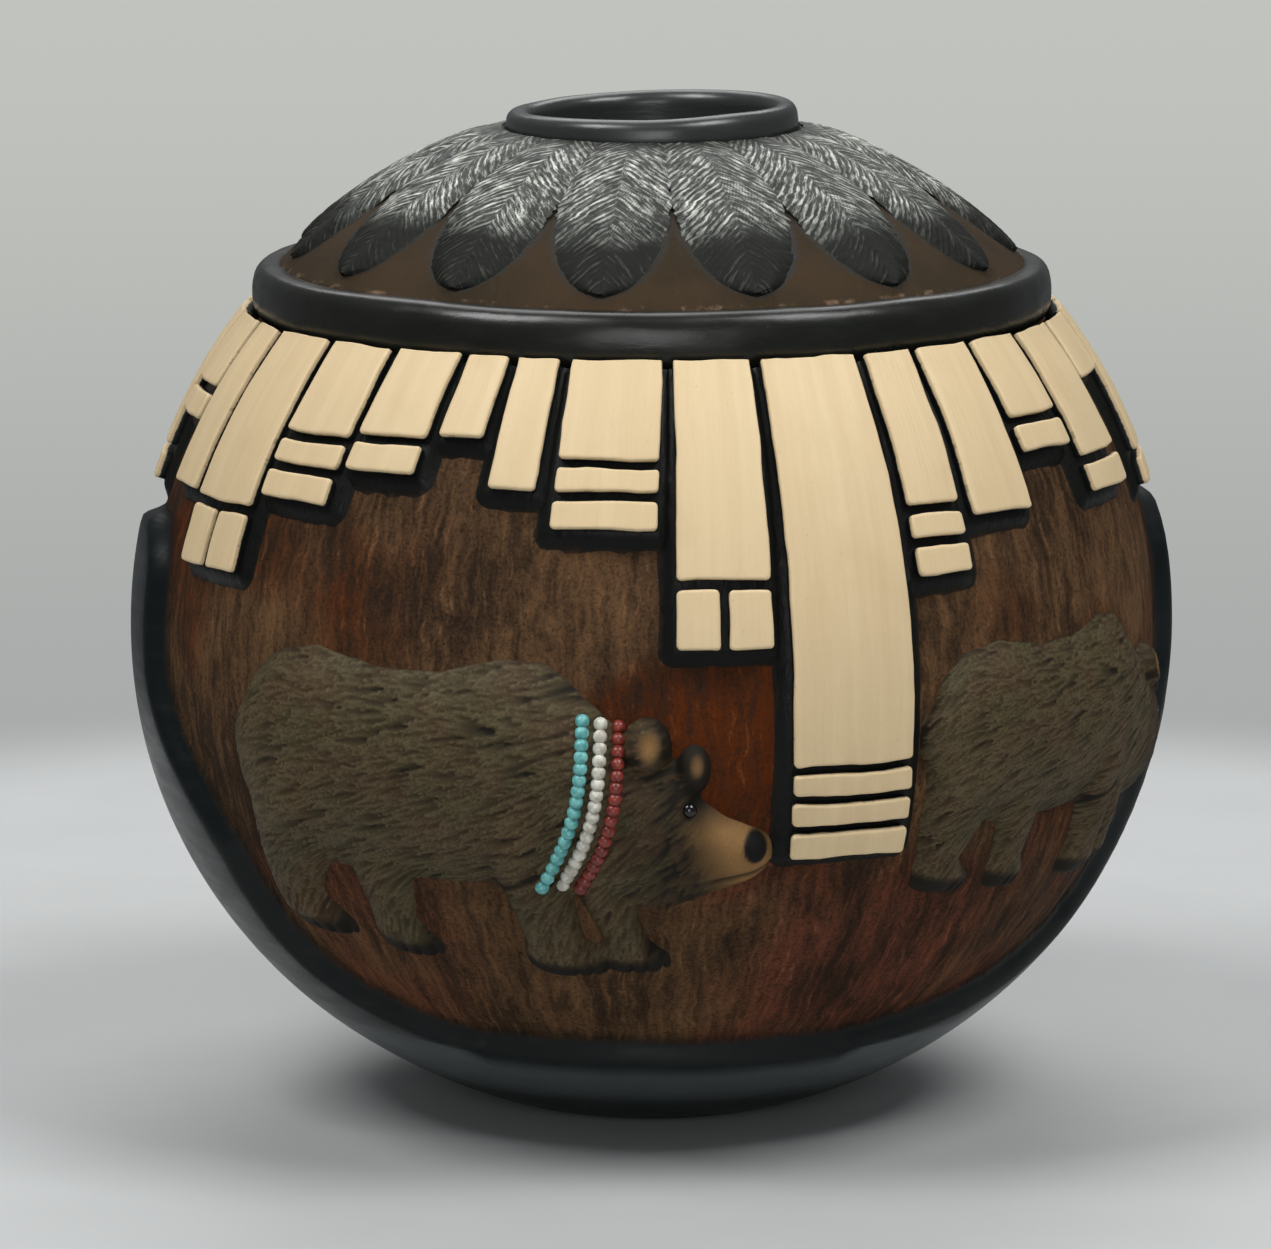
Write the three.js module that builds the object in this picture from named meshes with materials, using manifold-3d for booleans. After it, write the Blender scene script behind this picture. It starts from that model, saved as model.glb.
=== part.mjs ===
// Etched seed pot: a nearly round earthenware vessel with a small mouth.
// The clay pieces are formed apart, laid on the leather-hard wall and joined with slip before firing:
// a thick bowl, a shouldered dome, a ring over their joint, a lip, hanging tabs, feathers, border strips,
// and four bears in relief, two of them with a bead collar let into the neck.
// Millimetres and degrees, +Z up, origin on the floor under the pot's axis. Longitude 0 faces -Y.
import * as THREE from "three";
import { mergeVertices } from "three/addons/utils/BufferGeometryUtils.js";
import Module from "manifold-3d";

// Body
const BODY_RADIUS = 101; // uncarved clay at the widest line
const LOWER_RISE = 95.5; // half-height of the lower half, a little flatter than the upper half
const FOOT_RADIUS = 27; // flat disc that the pot stands on
const WALL = 9.5; // thickness before carving
const CARVE_DEPTH = 4; // etched ground under the uncarved surface
const SLIP_GAP = 0.3; // slip line between two joined pieces
const BELT_LATITUDE = -48; // top of the plain black base
const BELT_ROUNDING = 1.6; // soft upper edge of the base

// Shoulder ring, dome and lip
const SHOULDER_LATITUDE = 38.3; // the bowl's top edge
const RING_WIDTH = 4.2;
const RING_HEIGHT = 10.8;
const RING_OVERHANG = 0.5; // ring past the bowl's etched ground
const RING_ROUNDING = 2; // outer edges
const MOUTH_RADIUS = 23.4;
const LIP_WIDTH = 4.6;
const LIP_HEIGHT = 5.2;
const LIP_RECESS = 1.2; // the lip is let this deep into the dome
const LIP_LEAN = 1; // the hand-shaped crown is this much higher on the +X side

// Hanging tabs: degrees of the round, degrees that they hang down, degrees that the lower end leans to the
// side, and grooves across the lower end or an end split in two
const TABS = [
  { width: 12.6, hang: 12.2, lean: -1.5, grooves: 1 },
  { width: 8.7, hang: 19.1, lean: -2, grooves: 0 },
  { width: 13, hang: 26.7, lean: -2.7, split: true },
  { width: 12.2, hang: 17.9, lean: -2.1, grooves: 2 },
  { width: 11.1, hang: 13.6, lean: -2, grooves: 1 },
  { width: 7.2, hang: 9.1, lean: -1.2, grooves: 0 },
  { width: 7.3, hang: 14.5, lean: -1.1, grooves: 0 },
  { width: 13.6, hang: 18.5, lean: -0.6, grooves: 2 },
  { width: 11.8, hang: 31.1, lean: -0.2, split: true },
  { width: 15.1, hang: 55.1, lean: 0.6, grooves: 3 },
  { width: 8.7, hang: 24.6, lean: 0.4, grooves: 2 },
  { width: 10.6, hang: 18.9, lean: 0.5, grooves: 0 },
  { width: 11.3, hang: 13, lean: 0.8, grooves: 1 },
  { width: 11.6, hang: 18.8, lean: 1.3, grooves: 1 },
  { width: 12.2, hang: 6.8, lean: 0, grooves: 0 },
  { width: 13, hang: 21, lean: -1.8, grooves: 1 },
];
const TAB_ROUNDS = 2; // the run of tabs goes round the pot this many times
const FIRST_TAB_LONGITUDE = -83.8; // left edge of the run on the front
const TAB_THICKNESS = 3.4;
const TAB_GAP = 2.2; // black groove between neighbours
const TAB_SLOPE = 0.7; // the cut sides lean in by this much
const GROOVE_WIDTH = 2;
const GROOVE_DEPTH = 1.5;
const STRIPE_PITCH = 6.2; // from groove to groove and from the end to the first groove
const SPLIT_BLOCK = 12; // height of the two blocks under a split tab

// Feathers on the dome
const FEATHER_COUNT = 15;
const FIRST_FEATHER_LONGITUDE = -8;
const FEATHER_WIDTH = 19;
const FEATHER_TIP_ROUND = 11; // length of the rounded tip
const FEATHER_TIP_BLUNT = 0.28; // share of the width left at the very tip
const FEATHER_ROOT_GAP = 0.6; // from the lip to the root
const FEATHER_TIP_GAP = 2.8; // from the ring's top to the tip
const FEATHER_SIDE_GAP = 0.5; // between neighbours at the root
const FEATHER_RISE = 1.5;
const FEATHER_EDGE_RISE = 0.6;
const FEATHER_ROOT_RISE = 0.4; // thin where it leaves the lip
const RACHIS_DIP = 0.35; // the shaft lies in a shallow furrow

// Border strips between the two etched panels
const STRIP_LONGITUDES = { border_strip_left: -82, border_strip_right: 98 };
const STRIP_WIDTH = 35;
const STRIP_TOP_LATITUDE = 15;
const STRIP_FLARE_HEIGHT = 84; // the strip widens over this height to meet the base
// How far its sides swell in the upper half of that height and sweep out at the foot, and the sweep's power
const STRIP_FLARES = {
  left: { swell: 0, sweep: 60, curve: 5 },
  right: { swell: 20, sweep: 26, curve: 8 },
};
const STRIP_EDGE = 1.2; // soft edges

// Bears: modelled flat like a clay sprig, then bent on to the wall, some way above the base
const BEAR_WALL = 97; // radius of the etched wall that the flat model is drawn for
const BEAR_CLEARANCE = 2; // bear to tab or strip
const BEAR_PITCH = -4; // walking with the head a little low
const BEARS = [
  { name: "bear_front_large", longitude: -24.6, size: 0.78, stand: 25, collar: "bead_collar_front" },
  { name: "bear_front_small", longitude: 53.5, size: 0.63, stand: 39 },
  { name: "bear_back_large", longitude: 155.4, size: 0.78, stand: 25, collar: "bead_collar_back" },
  { name: "bear_back_small", longitude: 233.5, size: 0.63, stand: 39 },
];
// Sections through the flat model: [forward, up] of its two sides, then the rise above the wall.
// The trunk runs from nose to tail, the limbs and ears from the ground up.
const BEAR_FORMS = {
  trunk: [
    [78, -15, 78, -7.5, 3.2],
    [75, -19.5, 75, -4, 5],
    [69, -22, 69, 0, 5.8],
    [64, -23.5, 64, 5, 6.4],
    [60, -25, 60, 13, 7],
    [54, -27, 54, 18.5, 7.4],
    [46, -26, 46, 22, 7],
    [37, -22, 37, 30, 6.4],
    [26, -20, 26, 38.5, 6.8],
    [14, -20.5, 14, 38.5, 6.6],
    [0, -22, 0, 33.5, 6.2],
    [-18, -23, -18, 32, 6.2],
    [-35, -24.5, -35, 34, 6.2],
    [-48, -23, -48, 30, 5.8],
    [-56, -15, -56, 23, 4.6],
    [-60.5, -2, -60.5, 13, 2.6],
  ],
  nearFore: [
    [19, -47, 41, -47, 3.4],
    [18, -42.5, 41, -42, 5],
    [19, -37, 34, -35.5, 5],
    [16, -24, 32, -24, 5.6],
    [9, -9, 34, -7, 6.6],
    [10, 7, 32, 9, 5.2],
  ],
  farFore: [
    [38, -47, 54, -47, 2.6],
    [37, -42.5, 54, -42, 3.6],
    [38, -36, 48, -34.5, 3.6],
    [33, -21, 46, -20, 4],
    [28, -7, 42, -5, 4],
  ],
  nearHind: [
    [-51, -47, -28, -47, 3.4],
    [-52, -42.5, -28, -42, 5],
    [-53, -36, -37, -34.5, 5],
    [-56, -23, -32, -22, 5.8],
    [-58, -7, -24, -7, 6.6],
    [-55, 9, -26, 12, 5.2],
  ],
  farHind: [
    [-21, -47, -3, -47, 2.6],
    [-22, -42.5, -3, -42, 3.6],
    [-22, -36, -9, -34.5, 3.6],
    [-26, -21, -8, -21, 4],
    [-30, -7, -8, -7, 4],
  ],
  nearEar: [
    [45, 14, 56, 12, 7.6],
    [44.4, 20.5, 57, 18.5, 8.2],
    [46, 25.6, 55.6, 24, 7.8],
    [49, 28, 53, 27.4, 6.8],
  ],
  farEar: [
    [58, 8, 65.6, 6, 5.6],
    [57.8, 15.5, 66, 13.8, 6],
    [59.3, 19.8, 64.8, 18.6, 5.6],
    [61, 21.6, 63.6, 21, 5],
  ],
};
const BEAR_EDGE = 0.3; // share of the rise at a form's two sides

// Bead collar: three rows of beads side by side round the neck
const COLLAR_ROWS = 3;
const COLLAR_ROW_WIDTH = 4.2;
const COLLAR_SEAT = 4; // floor of the groove in the neck, above the wall
const COLLAR_RISE = 7.4; // bead crests above the wall
const COLLAR_FLUTE = 0.9; // dip between two rows
const COLLAR_NECK = [35, 4]; // middle of the band in the flat model
const COLLAR_TURN = 12; // the band stands across the lowered neck
const COLLAR_REACH = 23; // half-length of the band
const COLLAR_BOW = 4; // how far the band bows towards the head
const COLLAR_DROOP = 2.5; // its ends lie lower on the neck's sides

// Facets
const ROUND_SEGMENTS = 48;
const ARC_STEP = 10; // degrees between rows of the turned pieces
const CAVITY_STEP = 23; // the same inside the pot
const DRAPE_STEP = 14; // longest step over the wall
const STRIP_STEP = 6; // degrees between rows of the border strips
const COLLAR_STEPS = 6;

const wasm = await Module();
wasm.setup();

const radians = THREE.MathUtils.degToRad;
const degrees = THREE.MathUtils.radToDeg;
const equatorHeight = LOWER_RISE * Math.sqrt(1 - (FOOT_RADIUS / BODY_RADIUS) ** 2);
const footLatitude = -degrees(Math.acos(FOOT_RADIUS / BODY_RADIUS));

// Radius and height of the body at a latitude, at some depth under the uncarved surface
function section(latitude, depth) {
  const rise = latitude < 0 ? LOWER_RISE : BODY_RADIUS;
  const angle = radians(latitude);
  return new THREE.Vector2(
    (BODY_RADIUS - depth) * Math.cos(angle),
    equatorHeight + (rise - depth) * Math.sin(angle),
  );
}

function onWall(latitude, longitude, depth) {
  const { x: radius, y: height } = section(latitude, depth);
  const turn = radians(longitude);
  return new THREE.Vector3(radius * Math.sin(turn), -radius * Math.cos(turn), height);
}

// A length along the wall as degrees of latitude, or of longitude at some latitude
const asLatitude = (length) => degrees(length / BODY_RADIUS);
const asLongitude = (length, latitude) => degrees(length / (BODY_RADIUS * Math.cos(radians(latitude))));

// Evenly spaced values from one end to the other, no further apart than a step
function spread(from, to, step) {
  const count = Math.max(1, Math.ceil(Math.abs(to - from) / step - 1e-6));
  return Array.from({ length: count + 1 }, (_, i) => from + ((to - from) * i) / count);
}

function arc(fromLatitude, toLatitude, depth, step = ARC_STEP) {
  return spread(fromLatitude, toLatitude, step).map((latitude) => section(latitude, depth));
}

// Turned piece from a closed profile of radius and height
function turned(profile) {
  return new THREE.LatheGeometry(profile, ROUND_SEGMENTS).rotateX(Math.PI / 2);
}

const closed = (profile) => [...profile, profile[0].clone()];

// Closed solid from a grid: place(over, up) gives a point of its face and the point of its back under it
function slab(across, along, place) {
  const columns = across.length;
  const sheet = columns * along.length;
  const spots = along.flatMap((up) => across.map((over) => place(over, up)));
  const points = [...spots.map(({ face }) => face), ...spots.map(({ back }) => back)];
  const index = [];
  const quad = (a, b, c, d) => index.push(a, b, c, a, c, d);
  for (let row = 0; row < along.length - 1; row++) {
    for (let column = 0; column < columns - 1; column++) {
      const k = row * columns + column;
      quad(k, k + 1, k + columns + 1, k + columns);
      quad(sheet + k, sheet + k + columns, sheet + k + columns + 1, sheet + k + 1);
    }
  }
  const lastRow = sheet - columns;
  const rim = [
    ...across.slice(1).map((_, i) => i),
    ...along.slice(1).map((_, j) => j * columns + columns - 1),
    ...across.slice(1).map((_, i) => sheet - 1 - i),
    ...along.slice(1).map((_, j) => lastRow - j * columns),
  ];
  rim.forEach((k, n) => {
    const next = rim[(n + 1) % rim.length];
    quad(next, k, sheet + k, sheet + next);
  });
  return new THREE.BufferGeometry().setFromPoints(points).setIndex(index);
}

// The two points of a slab laid on the wall, from the depths of its face and its back
const laid = (latitude, longitude, face, back) => ({
  face: onWall(latitude, longitude, face),
  back: onWall(latitude, longitude, back),
});

// Solids for cutting and joining
function solid(geometry) {
  const bare = geometry.clone();
  for (const name of Object.keys(bare.attributes)) {
    if (name !== "position") bare.deleteAttribute(name);
  }
  const merged = mergeVertices(bare, 1e-4);
  return new wasm.Manifold(
    new wasm.Mesh({
      numProp: 3,
      vertProperties: new Float32Array(merged.attributes.position.array),
      triVerts: new Uint32Array(merged.index.array),
    }),
  );
}

function geometryOf(made) {
  const mesh = made.getMesh();
  const geometry = new THREE.BufferGeometry();
  geometry.setAttribute("position", new THREE.BufferAttribute(new Float32Array(mesh.vertProperties), 3));
  return geometry.setIndex(new THREE.BufferAttribute(new Uint32Array(mesh.triVerts), 1));
}

// Finishes: slip colours and burnish
const finish = (color, roughness) => new THREE.MeshStandardMaterial({ color, roughness, metalness: 0 });
const blackSlip = finish(0x1c1e21, 0.55);
const etchedBrown = finish(0x4a2a1d, 0.75);
const creamSlip = finish(0xe3c79a, 0.6);
const featherBlack = finish(0x2b2f30, 0.5);
const oliveBrown = finish(0x2f2a1e, 0.65);
const beadTurquoise = finish(0x4fa7ab, 0.45);

const pot = new THREE.Group();
function add(name, geometry, material) {
  const mesh = new THREE.Mesh(geometry, material.clone());
  mesh.name = name;
  pot.add(mesh);
}

// Bowl: black base with a soft belt edge, thinner etched wall above, a ledge at the shoulder
const ledge = section(SHOULDER_LATITUDE, CARVE_DEPTH);
const ledgeLatitudeInside = degrees(Math.asin((ledge.y - equatorHeight) / (BODY_RADIUS - WALL)));
const beltSoftening = asLatitude(BELT_ROUNDING);
add(
  "pot_bowl",
  turned([
    new THREE.Vector2(0, 0),
    ...arc(footLatitude, BELT_LATITUDE - beltSoftening, 0),
    section(BELT_LATITUDE - beltSoftening * 0.3, BELT_ROUNDING * 0.3),
    section(BELT_LATITUDE, BELT_ROUNDING),
    ...arc(BELT_LATITUDE, 0, CARVE_DEPTH),
    ...arc(0, SHOULDER_LATITUDE, CARVE_DEPTH).slice(1),
    ...arc(ledgeLatitudeInside, 0, WALL, CAVITY_STEP),
    ...arc(0, -90, WALL, CAVITY_STEP).slice(1),
  ]),
  etchedBrown,
);

// Shoulder ring: a band on the ledge, over the joint of bowl and dome
const ringOuter = ledge.x + RING_OVERHANG;
const ringInner = ringOuter - RING_WIDTH;
const ringFloor = ledge.y + SLIP_GAP;
const ringTop = ringFloor + RING_HEIGHT;
const ringShape = new THREE.Shape()
  .moveTo(ringInner, ringFloor)
  .lineTo(ringOuter - RING_ROUNDING, ringFloor)
  .quadraticCurveTo(ringOuter, ringFloor, ringOuter, ringFloor + RING_ROUNDING)
  .lineTo(ringOuter, ringTop - RING_ROUNDING)
  .quadraticCurveTo(ringOuter, ringTop, ringOuter - RING_ROUNDING, ringTop)
  .lineTo(ringInner, ringTop);
add("shoulder_ring", turned(closed(ringShape.getPoints(2))), blackSlip);

// Dome: its skirt stands on the ledge inside the ring, and its top is recessed for the lip
const skirtOuter = ringInner - SLIP_GAP;
const skirtLatitude = degrees(Math.acos(skirtOuter / BODY_RADIUS));
const lipOuter = MOUTH_RADIUS + LIP_WIDTH;
const recessRadius = lipOuter + SLIP_GAP;
const recessLatitude = degrees(Math.acos(recessRadius / BODY_RADIUS));
const recessFloor = section(recessLatitude, 0).y - LIP_RECESS;
const mouthLatitude = degrees(Math.acos(MOUTH_RADIUS / (BODY_RADIUS - WALL)));
const skirtLatitudeInside = degrees(Math.asin((ringFloor - equatorHeight) / (BODY_RADIUS - WALL)));
add(
  "shoulder_dome",
  turned(
    closed([
      new THREE.Vector2(skirtOuter, ringFloor),
      ...arc(skirtLatitude, recessLatitude, 0),
      new THREE.Vector2(recessRadius, recessFloor),
      new THREE.Vector2(MOUTH_RADIUS, recessFloor),
      ...arc(mouthLatitude, skirtLatitudeInside, WALL, CAVITY_STEP),
    ]),
  ),
  etchedBrown,
);

// Lip: a round-topped coil in the recess, shaped by hand so that its crown leans
const lipFloor = recessFloor + SLIP_GAP;
const lipTop = lipFloor + LIP_HEIGHT;
const lipRound = LIP_WIDTH / 2;
const lipShape = new THREE.Shape()
  .moveTo(MOUTH_RADIUS, lipFloor)
  .lineTo(lipOuter, lipFloor)
  .lineTo(lipOuter, lipTop - lipRound)
  .absarc(MOUTH_RADIUS + lipRound, lipTop - lipRound, lipRound, 0, Math.PI);
const lip = turned(closed(lipShape.getPoints(2)));
const lipPlaces = lip.getAttribute("position");
for (let i = 0; i < lipPlaces.count; i++) {
  const share = (lipPlaces.getZ(i) - lipFloor) / LIP_HEIGHT;
  lipPlaces.setZ(i, lipPlaces.getZ(i) + LIP_LEAN * share * (lipPlaces.getX(i) / lipOuter));
}
add("mouth_lip", lip, blackSlip);

// Tabs: slabs that hang down the wall from the shoulder, grooved across and sometimes split at the lower end
const seatDepth = CARVE_DEPTH - SLIP_GAP;
const tabFace = seatDepth - TAB_THICKNESS;

// Places across a tab: its two sides, the sides and bottom of each groove, and steps in between
function stations(length, grooves) {
  const half = GROOVE_WIDTH / 2;
  const marks = [0, ...grooves.flatMap((middle) => [middle - half, middle, middle + half]), length];
  return marks.flatMap((mark, i) => (i ? spread(marks[i - 1], mark, DRAPE_STEP).slice(1) : [mark]));
}

const tabSpans = [];
let edge = FIRST_TAB_LONGITUDE;
const runWidth = TABS.reduce((sum, tab) => sum + tab.width, 0);
const runScale = 360 / TAB_ROUNDS / runWidth;
for (let round = 0; round < TAB_ROUNDS; round++) {
  for (const tab of TABS) {
    const west = edge;
    edge += tab.width * runScale;
    tabSpans.push({ ...tab, west, east: edge });
  }
}

// Longitude of a place on a tab, which leans as it hangs
const leaning = ({ hang, lean }, longitude, latitude) =>
  longitude + (lean * (SHOULDER_LATITUDE - latitude)) / hang;

function tabGeometry(span) {
  const { west, east, hang, grooves, split } = span;
  const end = SHOULDER_LATITUDE - hang;
  const length = radians(hang) * BODY_RADIUS;
  const gap = asLongitude(TAB_GAP / 2, SHOULDER_LATITUDE);
  const turn = east - west - 2 * gap;
  const width = radians(turn) * section(Math.max(end, 0), 0).x;
  const crossGrooves = split
    ? [SPLIT_BLOCK]
    : Array.from({ length: grooves }, (_, i) => (i + 1) * STRIPE_PITCH);
  const middle = split ? [width / 2] : [];
  return slab(stations(width, middle), stations(length, crossGrooves), (over, up) => {
    const place = (across, along, depth) => {
      const latitude = end + asLatitude(along);
      return onWall(latitude, leaning(span, west + gap + turn * (across / width), latitude), depth);
    };
    const cut = crossGrooves.includes(up) || (up < SPLIT_BLOCK && middle.includes(over));
    const inner = THREE.MathUtils.clamp(over, TAB_SLOPE, width - TAB_SLOPE);
    return {
      face: place(inner, Math.max(up, TAB_SLOPE), tabFace + (cut ? GROOVE_DEPTH : 0)),
      back: place(over, up, seatDepth),
    };
  });
}

tabSpans.forEach((span, i) => {
  add(`tab_${String(i + 1).padStart(2, "0")}`, tabGeometry(span), creamSlip);
});

// Feathers: blades that lie side by side from under the lip towards the ring, with a furrow along the shaft
const featherRoot = recessLatitude - asLatitude(FEATHER_ROOT_GAP);
const ringTopLatitude = degrees(Math.asin((ringTop - equatorHeight) / BODY_RADIUS));
const featherTip = ringTopLatitude + asLatitude(FEATHER_TIP_GAP);
const featherLength = radians(featherRoot - featherTip) * BODY_RADIUS;
const featherPitch = 360 / FEATHER_COUNT;

function featherHalfWidth(fromTip, latitude) {
  const short = Math.max(0, 1 - fromTip / FEATHER_TIP_ROUND);
  const rounding = Math.max(FEATHER_TIP_BLUNT, Math.sqrt(1 - short ** 2));
  const room = featherPitch / 2 - asLongitude(FEATHER_SIDE_GAP / 2, latitude);
  return Math.min(asLongitude(FEATHER_WIDTH / 2, latitude) * rounding, room);
}

function featherGeometry(longitude) {
  const tipRows = [0, 0.3, 1].map((share) => share * FEATHER_TIP_ROUND);
  const rows = [...tipRows, ...spread(FEATHER_TIP_ROUND, featherLength, DRAPE_STEP).slice(1)];
  return slab([-1, -0.5, 0, 0.5, 1], rows, (over, up) => {
    const latitude = featherTip + asLatitude(up);
    const blade = over === 0 ? FEATHER_RISE - RACHIS_DIP : FEATHER_RISE;
    const body = Math.abs(over) === 1 ? FEATHER_EDGE_RISE : blade;
    const rise = up === featherLength ? FEATHER_ROOT_RISE : body;
    const place = longitude + over * featherHalfWidth(up, latitude);
    return laid(latitude, place, -SLIP_GAP - rise, -SLIP_GAP);
  });
}

for (let i = 0; i < FEATHER_COUNT; i++) {
  const name = `feather_${String(i + 1).padStart(2, "0")}`;
  add(name, featherGeometry(FIRST_FEATHER_LONGITUDE + i * featherPitch), featherBlack);
}

// The wall with its slip line, which is cut from the back of whatever is pressed on to it
const stripFoot = BELT_LATITUDE + asLatitude(SLIP_GAP);
const wallWithSlip = solid(
  turned([
    new THREE.Vector2(0, -SLIP_GAP),
    ...arc(footLatitude, stripFoot, -SLIP_GAP),
    section(stripFoot, seatDepth),
    ...arc(BELT_LATITUDE, 0, seatDepth).slice(1),
    ...arc(0, SHOULDER_LATITUDE, seatDepth).slice(1),
    new THREE.Vector2(0, section(SHOULDER_LATITUDE, seatDepth).y),
  ]),
);

// Border strips: plain clay left between the panels, widening into the base
const stripFlareTop = stripFoot + asLatitude(STRIP_FLARE_HEIGHT);

function stripReach(latitude, side) {
  const down = THREE.MathUtils.clamp((stripFlareTop - latitude) / (stripFlareTop - stripFoot), 0, 1);
  const { swell, sweep, curve } = side < 0 ? STRIP_FLARES.left : STRIP_FLARES.right;
  const flare = swell * THREE.MathUtils.smoothstep(down, 0, 0.5) + sweep * down ** curve;
  return asLongitude(STRIP_WIDTH / 2 + flare, latitude);
}

function stripGeometry(longitude) {
  const columns = [-1, -0.97, -0.73, -0.49, -0.25, 0, 0.32, 0.64, 0.96, 1];
  const rows = spread(stripFoot, STRIP_TOP_LATITUDE - asLatitude(STRIP_EDGE), STRIP_STEP);
  return slab(columns, [...rows, STRIP_TOP_LATITUDE], (over, latitude) => {
    const worn = Math.abs(over) === 1 || latitude === STRIP_TOP_LATITUDE;
    const place = longitude + over * stripReach(latitude, over);
    return laid(latitude, place, worn ? STRIP_EDGE : 0, WALL);
  });
}

for (const [name, longitude] of Object.entries(STRIP_LONGITUDES)) {
  const pressed = solid(stripGeometry(longitude)).subtract(wallWithSlip);
  add(name, geometryOf(pressed), blackSlip);
}

// Bears: each form is a loft through its sections, bent on to the wall
const pitch = radians(BEAR_PITCH);
const pitched = (x, y) => new THREE.Vector2(x, y).rotateAround(new THREE.Vector2(), pitch);
const soles = Object.values(BEAR_FORMS)
  .flat()
  .flatMap(([x0, y0, x1, y1]) => [pitched(x0, y0).y, pitched(x1, y1).y]);
const footline = Math.min(...soles);

// Takes a place of the flat model to the wall: lengths over it from the bear's middle, and a rise above it
function bender({ longitude, size, stand }) {
  const wall = BODY_RADIUS - CARVE_DEPTH;
  const scale = (size * wall) / BEAR_WALL;
  const latitude = BELT_LATITUDE + asLatitude(stand - footline * scale);
  const outward = onWall(latitude, longitude, 0).setZ(0).normalize();
  const forward = new THREE.Vector3(0, 0, 1).cross(outward);
  outward.applyAxisAngle(forward, -radians(latitude));
  const upward = outward.clone().cross(forward);
  return (flat) => {
    const spot = pitched(flat.x, flat.y).multiplyScalar(scale);
    const turn = spot.length() / wall;
    const way = outward.clone().multiplyScalar(Math.cos(turn));
    way.addScaledVector(forward, Math.sin(turn) * Math.cos(spot.angle()));
    way.addScaledVector(upward, Math.sin(turn) * Math.sin(spot.angle()));
    const depth = CARVE_DEPTH - flat.z * scale;
    return onWall(degrees(Math.asin(way.z)), degrees(Math.atan2(way.x, -way.y)), depth);
  };
}

function bent(geometry, bend) {
  const places = geometry.getAttribute("position");
  const spot = new THREE.Vector3();
  for (let i = 0; i < places.count; i++) {
    places.setXYZ(i, ...bend(spot.fromBufferAttribute(places, i)).toArray());
  }
  return solid(geometry);
}

function loft(sections, bend) {
  const shares = [0, 0.25, 0.75, 1];
  const form = slab(shares, sections, (share, [x0, y0, x1, y1, rise]) => {
    const x = x0 + (x1 - x0) * share;
    const y = y0 + (y1 - y0) * share;
    const atSide = share === 0 || share === 1;
    const face = new THREE.Vector3(x, y, rise * (atSide ? BEAR_EDGE : 1));
    return { face, back: new THREE.Vector3(x, y, -CARVE_DEPTH) };
  });
  return bent(form, bend);
}

const join = (solids) => solids.reduce((sum, next) => sum.add(next));

// Collar: a fluted band, one flute a row of beads, bowed round the neck. With room, it is the groove for it
function collarSolid(bend, room = 0) {
  const half = (COLLAR_ROWS * COLLAR_ROW_WIDTH) / 2 + room;
  const top = room ? COLLAR_RISE * 2 : COLLAR_RISE;
  const outline = new THREE.Shape().moveTo(-half, COLLAR_SEAT - room);
  spread(-half, half, half / COLLAR_ROWS).forEach((over, i) => {
    outline.lineTo(over, top - (i % 2 ? 0 : COLLAR_FLUTE));
  });
  outline.lineTo(half, COLLAR_SEAT - room);
  const depth = 2 * (COLLAR_REACH + room);
  const band = new THREE.ExtrudeGeometry(outline, { depth, steps: COLLAR_STEPS, bevelEnabled: false });
  const places = band.getAttribute("position");
  const lean = radians(-COLLAR_TURN);
  for (let i = 0; i < places.count; i++) {
    const along = 0.5 - places.getZ(i) / depth;
    const bowed = new THREE.Vector2(places.getX(i) + COLLAR_BOW * Math.cos(along * Math.PI), along * depth);
    const spot = bowed.rotateAround(new THREE.Vector2(), lean);
    const rise = places.getY(i) - COLLAR_DROOP * (2 * along) ** 2;
    places.setXYZ(i, COLLAR_NECK[0] + spot.x, COLLAR_NECK[1] + spot.y, rise);
  }
  return bent(band, bend);
}

// The room that tabs and strips keep is cut away from the bears
const clear = asLatitude(BEAR_CLEARANCE);
const tabRooms = tabSpans.map((span) => {
  const levels = spread(SHOULDER_LATITUDE - span.hang - clear, SHOULDER_LATITUDE, ARC_STEP);
  const room = (over, up) => laid(up, leaning(span, over, up), -WALL, WALL);
  return solid(slab(spread(span.west, span.east, ARC_STEP), levels, room));
});
const stripRooms = Object.values(STRIP_LONGITUDES).map((longitude) => {
  const levels = spread(stripFoot, STRIP_TOP_LATITUDE + clear, ARC_STEP / 2);
  const room = (over, up) => laid(up, longitude + over * (stripReach(up, over) + 2 * clear), -WALL, WALL);
  return solid(slab(spread(-1, 1, 0.2), levels, room));
});
const taken = [wallWithSlip, ...stripRooms, ...tabRooms];

for (const bear of BEARS) {
  const bend = bender(bear);
  let body = join(Object.values(BEAR_FORMS).map((sections) => loft(sections, bend)));
  for (const other of taken) body = body.subtract(other);
  if (bear.collar) {
    body = body.subtract(collarSolid(bend, SLIP_GAP / bear.size));
    const collar = collarSolid(bend).subtract(wallWithSlip);
    add(bear.collar, geometryOf(collar), beadTurquoise);
  }
  add(bear.name, geometryOf(body), oliveBrown);
}

export default pot;
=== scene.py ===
# Etched seed pot of hand-built earthenware, about 202 mm across.
# The pieces follow the pot as it is put together: wall, tabs, ring, dome, feathers, lip, bears and collars,
# then the table that it stands on, the light and the camera. Lengths are millimetres until a mesh is placed.
import math
import random

import bmesh
import bpy
import numpy as np
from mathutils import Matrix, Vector, noise


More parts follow.
